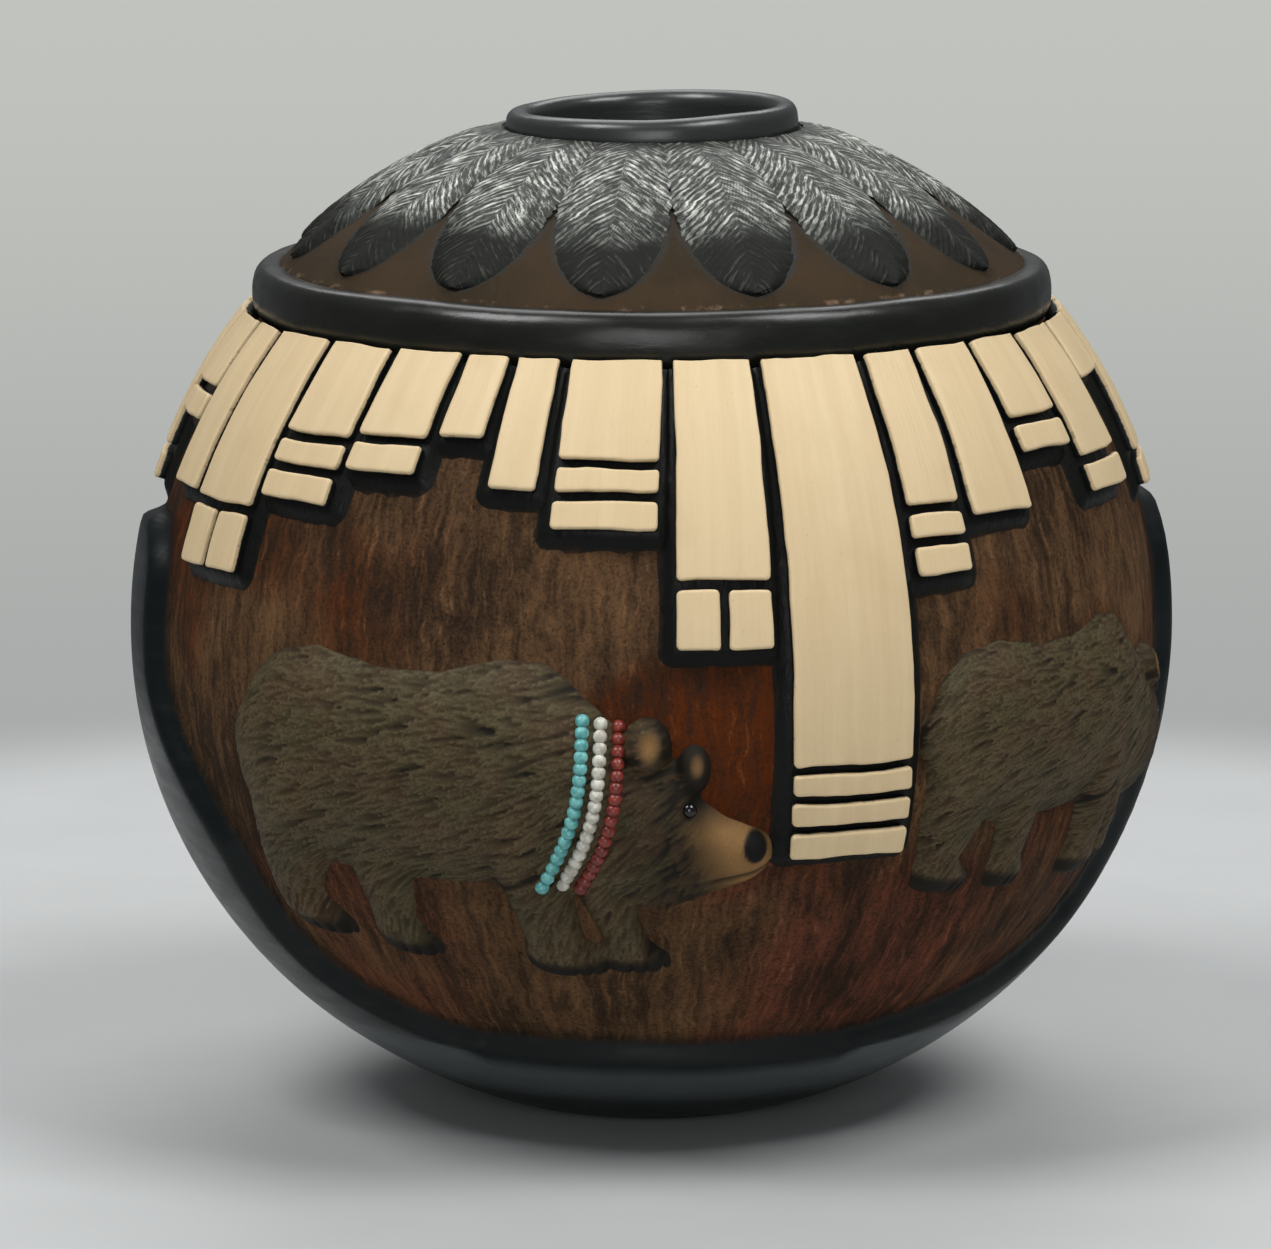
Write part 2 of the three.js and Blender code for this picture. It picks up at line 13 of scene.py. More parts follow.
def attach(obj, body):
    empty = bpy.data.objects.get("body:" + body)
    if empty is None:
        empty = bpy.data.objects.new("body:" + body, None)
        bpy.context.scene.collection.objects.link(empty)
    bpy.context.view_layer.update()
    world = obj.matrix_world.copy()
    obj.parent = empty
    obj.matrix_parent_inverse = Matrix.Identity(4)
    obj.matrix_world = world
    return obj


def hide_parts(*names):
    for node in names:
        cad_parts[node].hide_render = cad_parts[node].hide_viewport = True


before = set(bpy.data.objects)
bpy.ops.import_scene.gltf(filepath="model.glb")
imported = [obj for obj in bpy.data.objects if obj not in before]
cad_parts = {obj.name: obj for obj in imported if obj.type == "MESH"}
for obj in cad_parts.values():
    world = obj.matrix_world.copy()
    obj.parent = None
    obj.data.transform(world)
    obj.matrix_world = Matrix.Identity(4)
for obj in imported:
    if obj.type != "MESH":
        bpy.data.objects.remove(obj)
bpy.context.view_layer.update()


# --- Pot wall ---------------------------------------------------------------------------------------------
# The thick bowl of red-brown clay, coiled, scraped and turned round by hand. Two wide panels are cut 4 mm deep
# into it and scratched upright with a point. The base and the two border strips keep their full height and
# are covered with black slip, rubbed to a satin.
MM = 0.001
BODY_RADIUS, LOWER_RISE, FOOT_RADIUS = 101.0, 95.5, 27.0
WALL, CARVE_DEPTH = 9.5, 4.0
EQUATOR = LOWER_RISE * math.sqrt(1 - (FOOT_RADIUS / BODY_RADIUS) ** 2)
FOOT_LATITUDE = -math.degrees(math.acos(FOOT_RADIUS / BODY_RADIUS))
BELT_LATITUDE, SHOULDER_LATITUDE = -48.0, 38.3
STRIP_LONGITUDES, STRIP_WIDTH, STRIP_TOP = (-82.0, 98.0), 35.0, 15.0
FLARE_HEIGHT = 84.0  # a strip widens over this height to meet the base
FLARES = {-1: (0.0, 60.0, 5), 1: (20.0, 26.0, 8)}  # swell, sweep at the foot and its power, on the two sides
PANEL_SLOPE = -3.0, 2.0  # distances from a panel's edge between which the wall is cut down to the ground
OUTER_SKIN = 1.5  # a point deeper than this is not on the outer face
WALL_COLUMNS = 512


def wall_section(latitude, depth):
    """Radius and height of the wall, some depth under its uncut face."""
    angle = math.radians(latitude)
    rise = LOWER_RISE if latitude < 0 else BODY_RADIUS
    return (BODY_RADIUS - depth) * math.cos(angle), EQUATOR + (rise - depth) * math.sin(angle)


def on_wall(latitude, longitude, depth):
    """The same place round the pot, in metres. Longitude 0 faces the front, -Y."""
    radius, height = wall_section(latitude, depth)
    turn = math.radians(longitude)
    return Vector((radius * math.sin(turn), -radius * math.cos(turn), height)) * MM


def found_on_wall(point):
    """Latitude, longitude and depth of a point near the wall."""
    radius, height = math.hypot(point.x, point.y) / MM, point.z / MM - EQUATOR
    rise = LOWER_RISE if height < 0 else BODY_RADIUS
    depth = 0.0
    for _ in range(4):
        angle = math.atan2(height / (rise - depth), radius / (BODY_RADIUS - depth))
        if abs(angle) < 0.8:
            depth = BODY_RADIUS - radius / math.cos(angle)
        else:
            depth = rise - height / math.sin(angle)
    return math.degrees(angle), math.degrees(math.atan2(point.x, -point.y)), depth


def held(share):
    """A share, held between nothing and all."""
    return min(1.0, max(0.0, share))


def soft_step(low, high, value):
    share = held((value - low) / (high - low))
    return share * share * (3 - 2 * share)


def spread(start, end, step):
    """Even stations from start to end, no further apart than a step."""
    count = max(1, math.ceil(abs(end - start) / step - 1e-6))
    return [start + (end - start) * i / count for i in range(count + 1)]


def turned(profile, columns):
    """A run of (radius, height) spun round the pot's axis."""
    bm = bmesh.new()
    spots = [bm.verts.new((radius * MM, 0, height * MM)) for radius, height in profile]
    edges = [bm.edges.new(pair) for pair in zip(spots, spots[1:])]
    bmesh.ops.spin(
        bm, geom=spots + edges, axis=(0, 0, 1), cent=(0, 0, 0), angle=math.tau, steps=columns, use_merge=True
    )
    bmesh.ops.remove_doubles(bm, verts=bm.verts[:], dist=1e-6)
    bmesh.ops.recalc_face_normals(bm, faces=bm.faces[:])
    return bm


def fired(bm, name, nodes, materials):
    """The finished piece: its mesh, its slips, and the solids of the frame that it stands for."""
    mesh = bpy.data.meshes.new(name)
    bm.to_mesh(mesh)
    bm.free()
    mesh.shade_smooth()
    for material in materials:
        mesh.materials.append(material)
    piece = bpy.data.objects.new(name, mesh)
    bpy.context.scene.collection.objects.link(piece)
    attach(piece, "root")
    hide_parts(*nodes)
    return piece


def strip_reach(latitude, side):
    """From the middle of a border strip to its left or right edge. It flares into the base."""
    top = BELT_LATITUDE + math.degrees(FLARE_HEIGHT / BODY_RADIUS)
    down = held((top - latitude) / (top - BELT_LATITUDE))
    swell, sweep, power = FLARES[-1 if side < 0 else 1]
    round_end = held((STRIP_TOP - latitude) / 8)
    half = STRIP_WIDTH / 2 * math.sqrt(1 - (1 - round_end) ** 2)
    return half + swell * soft_step(0, 0.5, down) + sweep * down**power


def panel_edge(latitude, longitude):
    """Distance to the edge of the cut panels, positive on the etched ground."""
    reach = math.radians(1) * BODY_RADIUS
    nearest = (latitude - BELT_LATITUDE) * reach
    for middle in STRIP_LONGITUDES:
        away = (longitude - middle + 180) % 360 - 180
        slope = (strip_reach(latitude - 0.5, away) - strip_reach(latitude + 0.5, away)) / reach
        side = math.radians(abs(away)) * BODY_RADIUS * math.cos(math.radians(latitude))
        side = (side - strip_reach(latitude, away)) / math.hypot(1, slope)
        over = (latitude - STRIP_TOP) * reach
        nearest = min(nearest, math.hypot(side, over) if side > 0 and over > 0 else max(side, over))
    return nearest


ledge_radius, ledge_height = wall_section(SHOULDER_LATITUDE, CARVE_DEPTH)
inside_ledge = math.degrees(math.asin((ledge_height - EQUATOR) / (BODY_RADIUS - WALL)))
outer_rows = spread(FOOT_LATITUDE, -52, 2.4) + spread(-52, SHOULDER_LATITUDE, 0.56)[1:]
wall = turned(
    [(0, 0), (FOOT_RADIUS - 1.5, 0), (FOOT_RADIUS - 0.4, 0.25)]
    + [wall_section(latitude, 0) for latitude in outer_rows[1:]]
    + [wall_section(SHOULDER_LATITUDE, 5.5)]
    + [wall_section(latitude, WALL) for latitude in spread(inside_ledge, -90, 8)],
    WALL_COLUMNS,
)
edge_mark = wall.verts.layers.float.new("panel_edge")
for vert in wall.verts:
    latitude, longitude, depth = found_on_wall(vert.co)
    if depth > OUTER_SKIN or latitude < FOOT_LATITUDE + 0.5:
        vert[edge_mark] = 40.0 if depth > OUTER_SKIN else -40.0
        continue
    spot = on_wall(latitude, longitude, 0) / MM
    wander = 0.9 * noise.noise(spot * 0.045) + 0.35 * noise.noise(spot * 0.16)
    edge = panel_edge(latitude, longitude) + wander
    cut = soft_step(*PANEL_SLOPE, edge)
    turn = math.radians(longitude)
    scratch = noise.noise(Vector((math.sin(turn) * 40, math.cos(turn) * 40, latitude * 0.16)))
    gouge = 0.2 * scratch + 0.22 * noise.noise(Vector((spot.x, spot.y, spot.z * 0.4)) * 0.17)
    depth = CARVE_DEPTH * cut + gouge * cut + 0.18 * noise.noise(spot * 0.03)
    vert.co = on_wall(latitude, longitude, depth)
    vert[edge_mark] = edge


def colour(red, green, blue):
    """A slip colour, written as it is seen, for the shaders."""
    parts = [c / 255 for c in (red, green, blue)]
    return [c / 12.92 if c <= 0.04045 else ((c + 0.055) / 1.055) ** 2.4 for c in parts] + [1.0]


def node(tree, kind, inputs=None, **settings):
    """A shader node. Settings are its properties, and each input is a value or the socket that feeds it."""
    made = tree.nodes.new("ShaderNode" + kind)
    for key, value in settings.items():
        setattr(made, key, value)
    for key, value in (inputs or {}).items():
        if isinstance(value, bpy.types.NodeSocket):
            tree.links.new(value, made.inputs[key])
        else:
            made.inputs[key].default_value = value
    return made


def sums(tree, kind, *values):
    return node(tree, "Math", dict(enumerate(values)), operation=kind).outputs[0]


def vectors(tree, kind, *values):
    return node(tree, "VectorMath", dict(enumerate(values)), operation=kind).outputs[0]


def stepped(tree, value, low, high, to_low=0.0, to_high=1.0):
    """A value eased from one range to another and held at the ends."""
    inputs = {"Value": value, "From Min": low, "From Max": high, "To Min": to_low, "To Max": to_high}
    return node(tree, "MapRange", inputs, interpolation_type="SMOOTHSTEP").outputs["Result"]


def mixed(tree, share, first, second):
    return node(tree, "Mix", {0: share, 6: first, 7: second}, data_type="RGBA").outputs[2]


def mixed_values(tree, share, first, second):
    return node(tree, "Mix", {0: share, 2: first, 3: second}).outputs[0]


def touched(tree, base, mask, share, shade):
    """A colour with a shade laid over it, by a share of a mask."""
    return mixed(tree, sums(tree, "MULTIPLY", mask, share), base, shade)


def shaken(tree, value, by, reach):
    """A value made uneven by a grain, half the reach either way."""
    swing = sums(tree, "MULTIPLY", sums(tree, "SUBTRACT", by, 0.5), reach)
    return sums(tree, "ADD", value, swing)


def mark(tree, name, output="Fac"):
    return node(tree, "Attribute", attribute_name=name).outputs[output]


def grain(tree, vector, scale, detail=2.0, roughness=0.5):
    inputs = {"Vector": vector, "Scale": scale, "Detail": detail, "Roughness": roughness}
    return node(tree, "TexNoise", inputs).outputs["Fac"]


def shader_group(name, inputs, outputs):
    tree = bpy.data.node_groups.new(name, "ShaderNodeTree")
    for title, value in inputs.items():
        tree.interface.new_socket(title, in_out="INPUT", socket_type="NodeSocketFloat").default_value = value
    for title, kind in outputs.items():
        tree.interface.new_socket(title, in_out="OUTPUT", socket_type="NodeSocket" + kind)
    return tree, tree.nodes.new("NodeGroupInput").outputs, tree.nodes.new("NodeGroupOutput").inputs


def grouped(tree, group, **inputs):
    return node(tree, "Group", inputs, node_tree=group).outputs


def clay_material(name, roughness=0.6):
    """A material with a plain clay shader, ready for its colour, gloss and height."""
    material = bpy.data.materials.new(name)
    material.use_nodes = True
    shader = material.node_tree.nodes["Principled BSDF"]
    shader.inputs["Roughness"].default_value = roughness
    return material, material.node_tree, shader


def dressed(tree, shader, base, roughness, gloss=0.5):
    """Gives a clay shader its colour and roughness, which vary, and the strength of its plain gloss."""
    tree.links.new(base, shader.inputs["Base Color"])
    tree.links.new(roughness, shader.inputs["Roughness"])
    shader.inputs["Specular IOR Level"].default_value = gloss


def raised(tree, shader, height, distance, strength=1.0):
    bump = node(tree, "Bump", {"Height": height, "Distance": distance, "Strength": strength})
    tree.links.new(bump.outputs["Normal"], shader.inputs["Normal"])


# Upright strokes: long in the height, narrow round the pot, without a seam.
upright, given, put = shader_group(
    "upright_strokes", {"Width": 0.0007, "Stretch": 0.1}, {"Strokes": "Float"}
)
place = node(upright, "TexCoord").outputs["Object"]
parts = node(upright, "SeparateXYZ", {0: place}).outputs
level = node(upright, "CombineXYZ", {0: parts[0], 1: parts[1]}).outputs[0]
around = vectors(upright, "NORMALIZE", level)
around = node(upright, "VectorMath", {0: around, "Scale": 0.1}, operation="SCALE").outputs[0]
lifted = sums(upright, "MULTIPLY", parts[2], given["Stretch"])
lifted = node(upright, "CombineXYZ", {2: lifted}).outputs[0]
laid = vectors(upright, "ADD", around, lifted)
waver = node(upright, "TexNoise", {"Vector": place, "Scale": 160.0, "Detail": 1.0}).outputs["Color"]
waver = vectors(upright, "SUBTRACT", waver, (0.5, 0.5, 0.5))
waver = vectors(upright, "MULTIPLY", waver, (0.004, 0.004, 0.0))
laid = vectors(upright, "ADD", laid, waver)
strokes = grain(upright, laid, sums(upright, "DIVIDE", 0.6, given["Width"]), 2.0, 0.6)
upright.links.new(strokes, put["Strokes"])

# Etched clay: dark brown, rubbed rusty or dull red in patches, with paler scratches and dark grain. The back
# panel is turned to the front's place first, so that both panels have the same two rusty spots.
RUSTY_SPOTS = (((0.011, -0.096, 0.084), 0.3), ((0.042, -0.078, 0.045), 0.17))  # place in metres, and strength
SPOT_REACH, SPOT_CORE = 0.036, 0.012
etched, given, put = shader_group("etched_clay", {"Shade": 0.0}, {"Color": "Color", "Height": "Float"})
place = node(etched, "TexCoord").outputs["Object"]
fine = grouped(etched, upright, Width=0.0009, Stretch=0.13)["Strokes"]
broad = grouped(etched, upright, Width=0.003, Stretch=0.2)["Strokes"]
sand = grain(etched, place, 1500.0, 2.0, 0.7)
patches = grain(etched, place, 34.0, 3.0, 0.6)
warm = grain(etched, place, 21.0, 2.0)
parts = node(etched, "SeparateXYZ", {0: place}).outputs
face = sums(etched, "SIGN", sums(etched, "MULTIPLY", parts[1], -1.0))
face = node(etched, "CombineXYZ", {0: face, 1: face, 2: 1.0}).outputs[0]
panel = vectors(etched, "MULTIPLY", place, face)
for spot, rust in RUSTY_SPOTS:
    away = node(etched, "VectorMath", {0: panel, 1: spot}, operation="DISTANCE").outputs["Value"]
    warm = sums(etched, "ADD", warm, stepped(etched, away, SPOT_REACH, SPOT_CORE, 0.0, rust))
opened = sums(etched, "ADD", sums(etched, "MULTIPLY", fine, 0.4), sums(etched, "MULTIPLY", broad, 0.35))
opened = shaken(etched, opened, patches, 0.5)
opened = shaken(etched, opened, sand, 0.28)
low = stepped(etched, parts[2], 0.075, 0.05)
rusty = mixed(etched, low, colour(88, 39, 8), colour(108, 61, 44))
rubbed_clay = mixed(etched, stepped(etched, warm, 0.5, 0.7), colour(101, 74, 49), rusty)
ground = mixed(etched, stepped(etched, opened, 0.22, 0.6), colour(43, 31, 21), rubbed_clay)
broken = stepped(etched, sand, 0.35, 0.6, 0.05, 0.26)
scratches = sums(etched, "MULTIPLY", stepped(etched, fine, 0.62, 0.74), broken)
ground = mixed(etched, scratches, ground, colour(132, 98, 68))
ground = touched(etched, ground, stepped(etched, sand, 0.46, 0.3), 0.35, colour(28, 21, 15))
# The shade input darkens the clay towards near-black: painted shade beside raised pieces.
ground = mixed(etched, given["Shade"], ground, colour(19, 19, 17))
etched.links.new(ground, put["Color"])
relief = sums(etched, "ADD", fine, sums(etched, "MULTIPLY", broad, 0.6))
etched.links.new(sums(etched, "ADD", relief, sums(etched, "MULTIPLY", sand, 0.35)), put["Height"])

# Rubbed black slip: blue-black, a little paler and greyer where the rubbing stone has dragged.
rubbed, given, put = shader_group(
    "rubbed_slip", {"Drag": 1.0}, {"Color": "Color", "Gloss": "Float", "Height": "Float"}
)
place = node(rubbed, "TexCoord").outputs["Object"]
turned_round = node(rubbed, "Mapping", {"Vector": place, "Scale": (0.35, 0.35, 1.6)}).outputs[0]
drag = grain(rubbed, turned_round, 240.0, 4.0, 0.6)
cloud = grain(rubbed, place, 38.0, 3.0)
dust = stepped(rubbed, grain(rubbed, place, 900.0, 2.0, 0.7), 0.62, 0.8)
slip = mixed(rubbed, stepped(rubbed, cloud, 0.35, 0.7), colour(17, 21, 21), colour(26, 30, 30))
pale = sums(rubbed, "MULTIPLY", stepped(rubbed, drag, 0.5, 0.8), sums(rubbed, "MULTIPLY", given["Drag"], 0.3))
slip = mixed(rubbed, pale, slip, colour(56, 59, 56))
slip = touched(rubbed, slip, dust, 0.16, colour(84, 82, 75))
rubbed.links.new(slip, put["Color"])
gloss = stepped(rubbed, drag, 0.2, 0.8, 0.3, 0.46)
rubbed.links.new(sums(rubbed, "ADD", gloss, sums(rubbed, "MULTIPLY", dust, 0.2)), put["Gloss"])
rubbed.links.new(sums(rubbed, "ADD", drag, sums(rubbed, "MULTIPLY", cloud, 1.5)), put["Height"])

wall_slip, tree, shader = clay_material("etched_and_black_wall")
ragged = grouped(tree, upright, Width=0.0016, Stretch=0.35)["Strokes"]
edge = shaken(tree, mark(tree, "panel_edge"), ragged, 0.8)
bare = stepped(tree, edge, 0.3, 1.8)
# The etched clay darkens for a few millimetres from the panel's edge: painted shade below the raised black slip.
clay = grouped(tree, etched, Shade=stepped(tree, edge, 0.6, 5.0, 0.6, 0.0))
slip = grouped(tree, rubbed)
# A paler band across the base, strongest 13 to 18 mm above the table, is painted sheen; under it the slip is
# left darker towards the foot, painted shade. The coat gloss follows the same band.
level = node(tree, "SeparateXYZ", {0: node(tree, "TexCoord").outputs["Object"]}).outputs[2]
painted_sheen_band = sums(tree, "MULTIPLY", stepped(tree, level, 0.006, 0.013), stepped(tree, level, 0.025, 0.018, 0.3, 1.0))
painted_sheen_band = sums(tree, "MULTIPLY", painted_sheen_band, stepped(tree, edge, -2.0, -9.0))
black = mixed(tree, 0.5, slip["Color"], colour(7, 13, 14))
wear_and_sheen = touched(tree, black, painted_sheen_band, 0.9, colour(64, 71, 72))
both = mixed(tree, bare, wear_and_sheen, clay["Color"])
dressed(tree, shader, both, mixed_values(tree, bare, slip["Gloss"], 0.8), 0.08)
shader.inputs["Coat Roughness"].default_value = 0.42
sheen = sums(tree, "MULTIPLY", stepped(tree, bare, 1.0, 0.0), stepped(tree, painted_sheen_band, 0.0, 1.0, 0.2, 0.7))
tree.links.new(sheen, shader.inputs["Coat Weight"])
height = mixed_values(tree, bare, sums(tree, "MULTIPLY", slip["Height"], 0.12), clay["Height"])
raised(tree, shader, height, 0.0004)
fired(
    wall, "pot_wall", ["pot_bowl", "border_strip_left", "border_strip_right"], [wall_slip]
)


# --- Hanging tabs -----------------------------------------------------------------------------------------
# Slabs of clay 3.4 mm thick, cut by hand and hung down the wall from the shoulder in a run that goes twice
# round. Their faces are brushed with cream slip. Black slip fills the grooves, coats the cut sides and runs
# a few millimetres on to the wall round each slab.
TABS = (  # degrees of the round, degrees that it hangs and leans, and grooves across its end or a split end
    (12.6, 12.2, -1.5, 1), (8.7, 19.1, -2, 0), (13, 26.7, -2.7, "split"), (12.2, 17.9, -2.1, 2),
    (11.1, 13.6, -2, 1), (7.2, 9.1, -1.2, 0), (7.3, 14.5, -1.1, 0), (13.6, 18.5, -0.6, 2),
    (11.8, 31.1, -0.2, "split"), (15.1, 55.1, 0.6, 3), (8.7, 24.6, 0.4, 2), (10.6, 18.9, 0.5, 0),
    (11.3, 13, 0.8, 1), (11.6, 18.8, 1.3, 1), (12.2, 6.8, 0, 0), (13, 21, -1.8, 1),
)
FIRST_TAB, TAB_GAP, TAB_THICKNESS = -83.8, 2.2, 3.4
SEAM = 0.3  # the layer of slip that joins two pieces
SEAT_DEPTH = CARVE_DEPTH - SEAM
GROOVE, STRIPE_PITCH, SPLIT_BLOCK = 1.8, 6.2, 12.0
TAB_TUCK, TAB_CORNER, TAB_RIM, FACE_INSET = 0.5, 0.8, 0.42, 0.3  # the tuck is hidden under the ring
SKIRT, SKIRT_RISE, SKIRT_STEPS, SKIRT_PITCH = 4.2, 1.3, 6, 3.0

tab_slip, tree, shader = clay_material("cream_tab_slip", 0.5)
lift = mark(tree, "lift")
brush = mark(tree, "brush", "Vector")
strokes = node(tree, "Mapping", {"Vector": brush, "Scale": (1.0, 0.045, 1.0)}).outputs[0]
hairs = grain(tree, strokes, 2.1, 3.0, 0.65)
swathes = grain(tree, strokes, 0.34, 2.0)
clouds = grain(tree, brush, 0.11, 2.0)
cream = mixed(tree, stepped(tree, swathes, 0.3, 0.72), colour(205, 182, 143), colour(211, 189, 150))
cream = touched(tree, cream, stepped(tree, hairs, 0.52, 0.78), 0.22, colour(190, 166, 127))
cream = touched(tree, cream, stepped(tree, clouds, 0.5, 0.8), 0.25, colour(192, 167, 127))
specks = stepped(tree, grain(tree, brush, 1.7, 1.0), 0.74, 0.8)
cream = touched(tree, cream, specks, 0.35, colour(150, 126, 92))
slip = grouped(tree, rubbed, Drag=0.4)
painted = stepped(tree, shaken(tree, lift, grain(tree, brush, 0.8, 3.0), 0.5), 2.3, 2.6)
rubbed_off = stepped(tree, grain(tree, brush, 0.5, 3.0), 0.6, 0.66)
wear_and_sheen = sums(tree, "MULTIPLY", stepped(tree, lift, 3.3, 2.9), rubbed_off)
cream = touched(tree, cream, wear_and_sheen, 0.5, colour(120, 104, 80))
gloss = mixed_values(tree, painted, slip["Gloss"], stepped(tree, swathes, 0.2, 0.8, 0.6, 0.48))
dressed(tree, shader, mixed(tree, painted, slip["Color"], cream), gloss, 0.3)
raised(tree, shader, sums(tree, "ADD", hairs, sums(tree, "MULTIPLY", swathes, 1.4)), 0.00012, 0.6)

skirt_slip, tree, shader = clay_material("black_skirt_slip")
ragged = grouped(tree, upright, Width=0.0016, Stretch=0.5)["Strokes"]
fade = shaken(tree, mark(tree, "fade"), ragged, 0.7)
bare = stepped(tree, fade, 0.55, 1.0)
# The clay at the skirt's outer edge is darkened: painted shade on the wall round the slab.
clay = grouped(tree, etched, Shade=stepped(tree, fade, 0.7, 1.3, 0.8, 0.4))
slip = grouped(tree, rubbed, Drag=0.1)
black = mixed(tree, 0.6, slip["Color"], colour(17, 17, 13))
both = mixed(tree, bare, black, clay["Color"])
dressed(tree, shader, both, mixed_values(tree, bare, slip["Gloss"], 0.8), 0.1)
raised(tree, shader, clay["Height"], 0.00025)


def worn_round(bm, edges, radius, segments):
    how = {"profile": 0.5, "affect": "EDGES", "material": -1, "offset_type": "OFFSET"}
    bmesh.ops.bevel(bm, geom=edges, offset=radius, segments=segments, **how)


west = FIRST_TAB
for number in range(2 * len(TABS)):
    width_round, hang, lean, cuts = TABS[number % len(TABS)]
    east = west + width_round * 180 / sum(tab[0] for tab in TABS)
    end, length = SHOULDER_LATITUDE - hang, math.radians(hang) * BODY_RADIUS
    gap = math.degrees(TAB_GAP / 2 / (BODY_RADIUS * math.cos(math.radians(SHOULDER_LATITUDE))))
    turn = east - west - 2 * gap
    width = math.radians(turn) * wall_section(max(end, 0), 0)[0]
    half = GROOVE / 2
    if cuts == "split":
        blocks = [
            (0, SPLIT_BLOCK + half, width, length + TAB_TUCK),
            (0, 0, width / 2 - half, SPLIT_BLOCK - half),
            (width / 2 + half, 0, width, SPLIT_BLOCK - half),
        ]
    else:
        lines = [-half] + [(i + 1) * STRIPE_PITCH for i in range(cuts)] + [length + half + TAB_TUCK]
        blocks = [(0, low + half, width, high - half) for low, high in zip(lines, lines[1:])]

    # The slabs lie flat first: upright corners rounded, rims worn round, then cut across so that they can bend.
    tab = bmesh.new()
    lift_mark = tab.verts.layers.float.new("lift")
    fade_mark = tab.verts.layers.float.new("fade")
    brush_mark = tab.verts.layers.float_vector.new("brush")
    for left, low, right, high in blocks:
        corners = bmesh.ops.create_cube(tab, size=1)["verts"]
        bmesh.ops.scale(tab, vec=(right - left, high - low, TAB_THICKNESS), verts=corners)
        middle = ((left + right) / 2, (low + high) / 2, TAB_THICKNESS / 2)
        bmesh.ops.translate(tab, vec=middle, verts=corners)
    free = [e for e in tab.edges if min(v.co.y for v in e.verts) < length]
    uprights = [e for e in free if abs(e.verts[0].co.z - e.verts[1].co.z) > 1]
    worn_round(tab, uprights, TAB_CORNER, 3)
    free = [e for e in tab.edges if min(v.co.y for v in e.verts) < length]
    rim = [e for e in free if min(v.co.z for v in e.verts) > TAB_THICKNESS - 0.01]
    worn_round(tab, rim, TAB_RIM, 2)
    tab.normal_update()
    faces_up = [f for f in tab.faces if f.normal.z > 0.95]
    bmesh.ops.inset_region(tab, faces=faces_up, thickness=FACE_INSET, use_boundary=True, use_even_offset=True)
    bends = [((u, 0, 0), (1, 0, 0)) for u in spread(1.2, width - 1.2, 2.6)]
    bends += [((0, v, 0), (0, 1, 0)) for v in spread(1.3, length - 1.3, 2.8)]
    for line, way in bends:
        whole = tab.verts[:] + tab.edges[:] + tab.faces[:]
        bmesh.ops.bisect_plane(tab, geom=whole, plane_co=line, plane_no=way)
    slab_verts = set(tab.verts)

    # The skirt of black slip round and under the slabs.
    before = [-SKIRT + SKIRT * i / SKIRT_STEPS for i in range(SKIRT_STEPS)]
    after = [width + SKIRT * (i + 1) / SKIRT_STEPS for i in range(SKIRT_STEPS)]
    columns = before + spread(0, width, SKIRT_PITCH) + after
    rows = before + spread(0, length, SKIRT_PITCH)
    skirt = bmesh.ops.create_grid(tab, x_segments=len(columns) - 1, y_segments=len(rows) - 1, size=0.5)
    for vert in skirt["verts"]:
        u = columns[round((vert.co.x + 0.5) * (len(columns) - 1))]
        v = rows[round((vert.co.y + 0.5) * (len(rows) - 1))]
        away = math.hypot(max(-u, u - width, 0), max(-v, 0)) / SKIRT
        vert[fade_mark] = away
        vert.co = (u, v, SKIRT_RISE - (SKIRT_RISE + 0.5) * soft_step(0, 1, away))
    for face in tab.faces:
        face.material_index = 0 if face.verts[0] in slab_verts else 1

    # Bent on to the wall, with the wavering of a hand-held knife.
    seed = Vector((number * 37.0, number * 11.0, 5.0))
    for vert in tab.verts:
        u, v, h = vert.co
        flat = Vector((u, v, 0)) + seed
        vert[lift_mark], vert[brush_mark] = h, flat
        if vert in slab_verts:
            other = Vector((0, 0, 9))
            u += 0.38 * noise.noise(flat * 0.11) + 0.16 * noise.noise(flat * 0.45)
            v += 0.42 * noise.noise(flat * 0.12 + other) + 0.2 * noise.noise(flat * 0.4 + other)
            if h > 1:
                h += 0.06 * (1 - (2 * u / width - 1) ** 2) + 0.1 * noise.noise(flat * 0.2)
        latitude = end + math.degrees(v / BODY_RADIUS)
        aside = lean * (SHOULDER_LATITUDE - latitude) / hang
        vert.co = on_wall(latitude, west + gap + turn * u / width + aside, SEAT_DEPTH - h)
    bmesh.ops.recalc_face_normals(tab, faces=tab.faces[:])
    label = f"tab_{number + 1:02d}"
    fired(tab, f"cream_{label}", [label], [tab_slip, skirt_slip])
    west = east


# --- Shoulder ring ----------------------------------------------------------------------------------------
# A flattened coil of clay laid over the joint of bowl and dome, pressed on with the fingers so that it wavers
# a little, then coated with black slip and rubbed until it shines softly.
RING_WIDTH, RING_HEIGHT, RING_OVERHANG, RING_COLUMNS = 4.2, 10.8, 0.5, 288
ring_outer, ring_floor = ledge_radius + RING_OVERHANG, ledge_height + SEAM
ring_inner, ring_top = ring_outer - RING_WIDTH, ring_floor + RING_HEIGHT
ring_back = ring_inner - 1.6  # reaches in under the skin of the dome
ring_profile = [(ring_back, ring_floor)]
for a in range(-90, 91, 12):
    across, up = math.cos(math.radians(a)), math.sin(math.radians(a))
    up = math.copysign(abs(up) ** 0.8, up)
    ring_profile.append((ring_outer - 3.4 + 3.7 * across**0.8, ring_floor + RING_HEIGHT / 2 * (1 + up)))
ring_profile += [(ring_back, ring_top - 0.1), (ring_back, ring_floor)]
ring = turned(ring_profile, RING_COLUMNS)
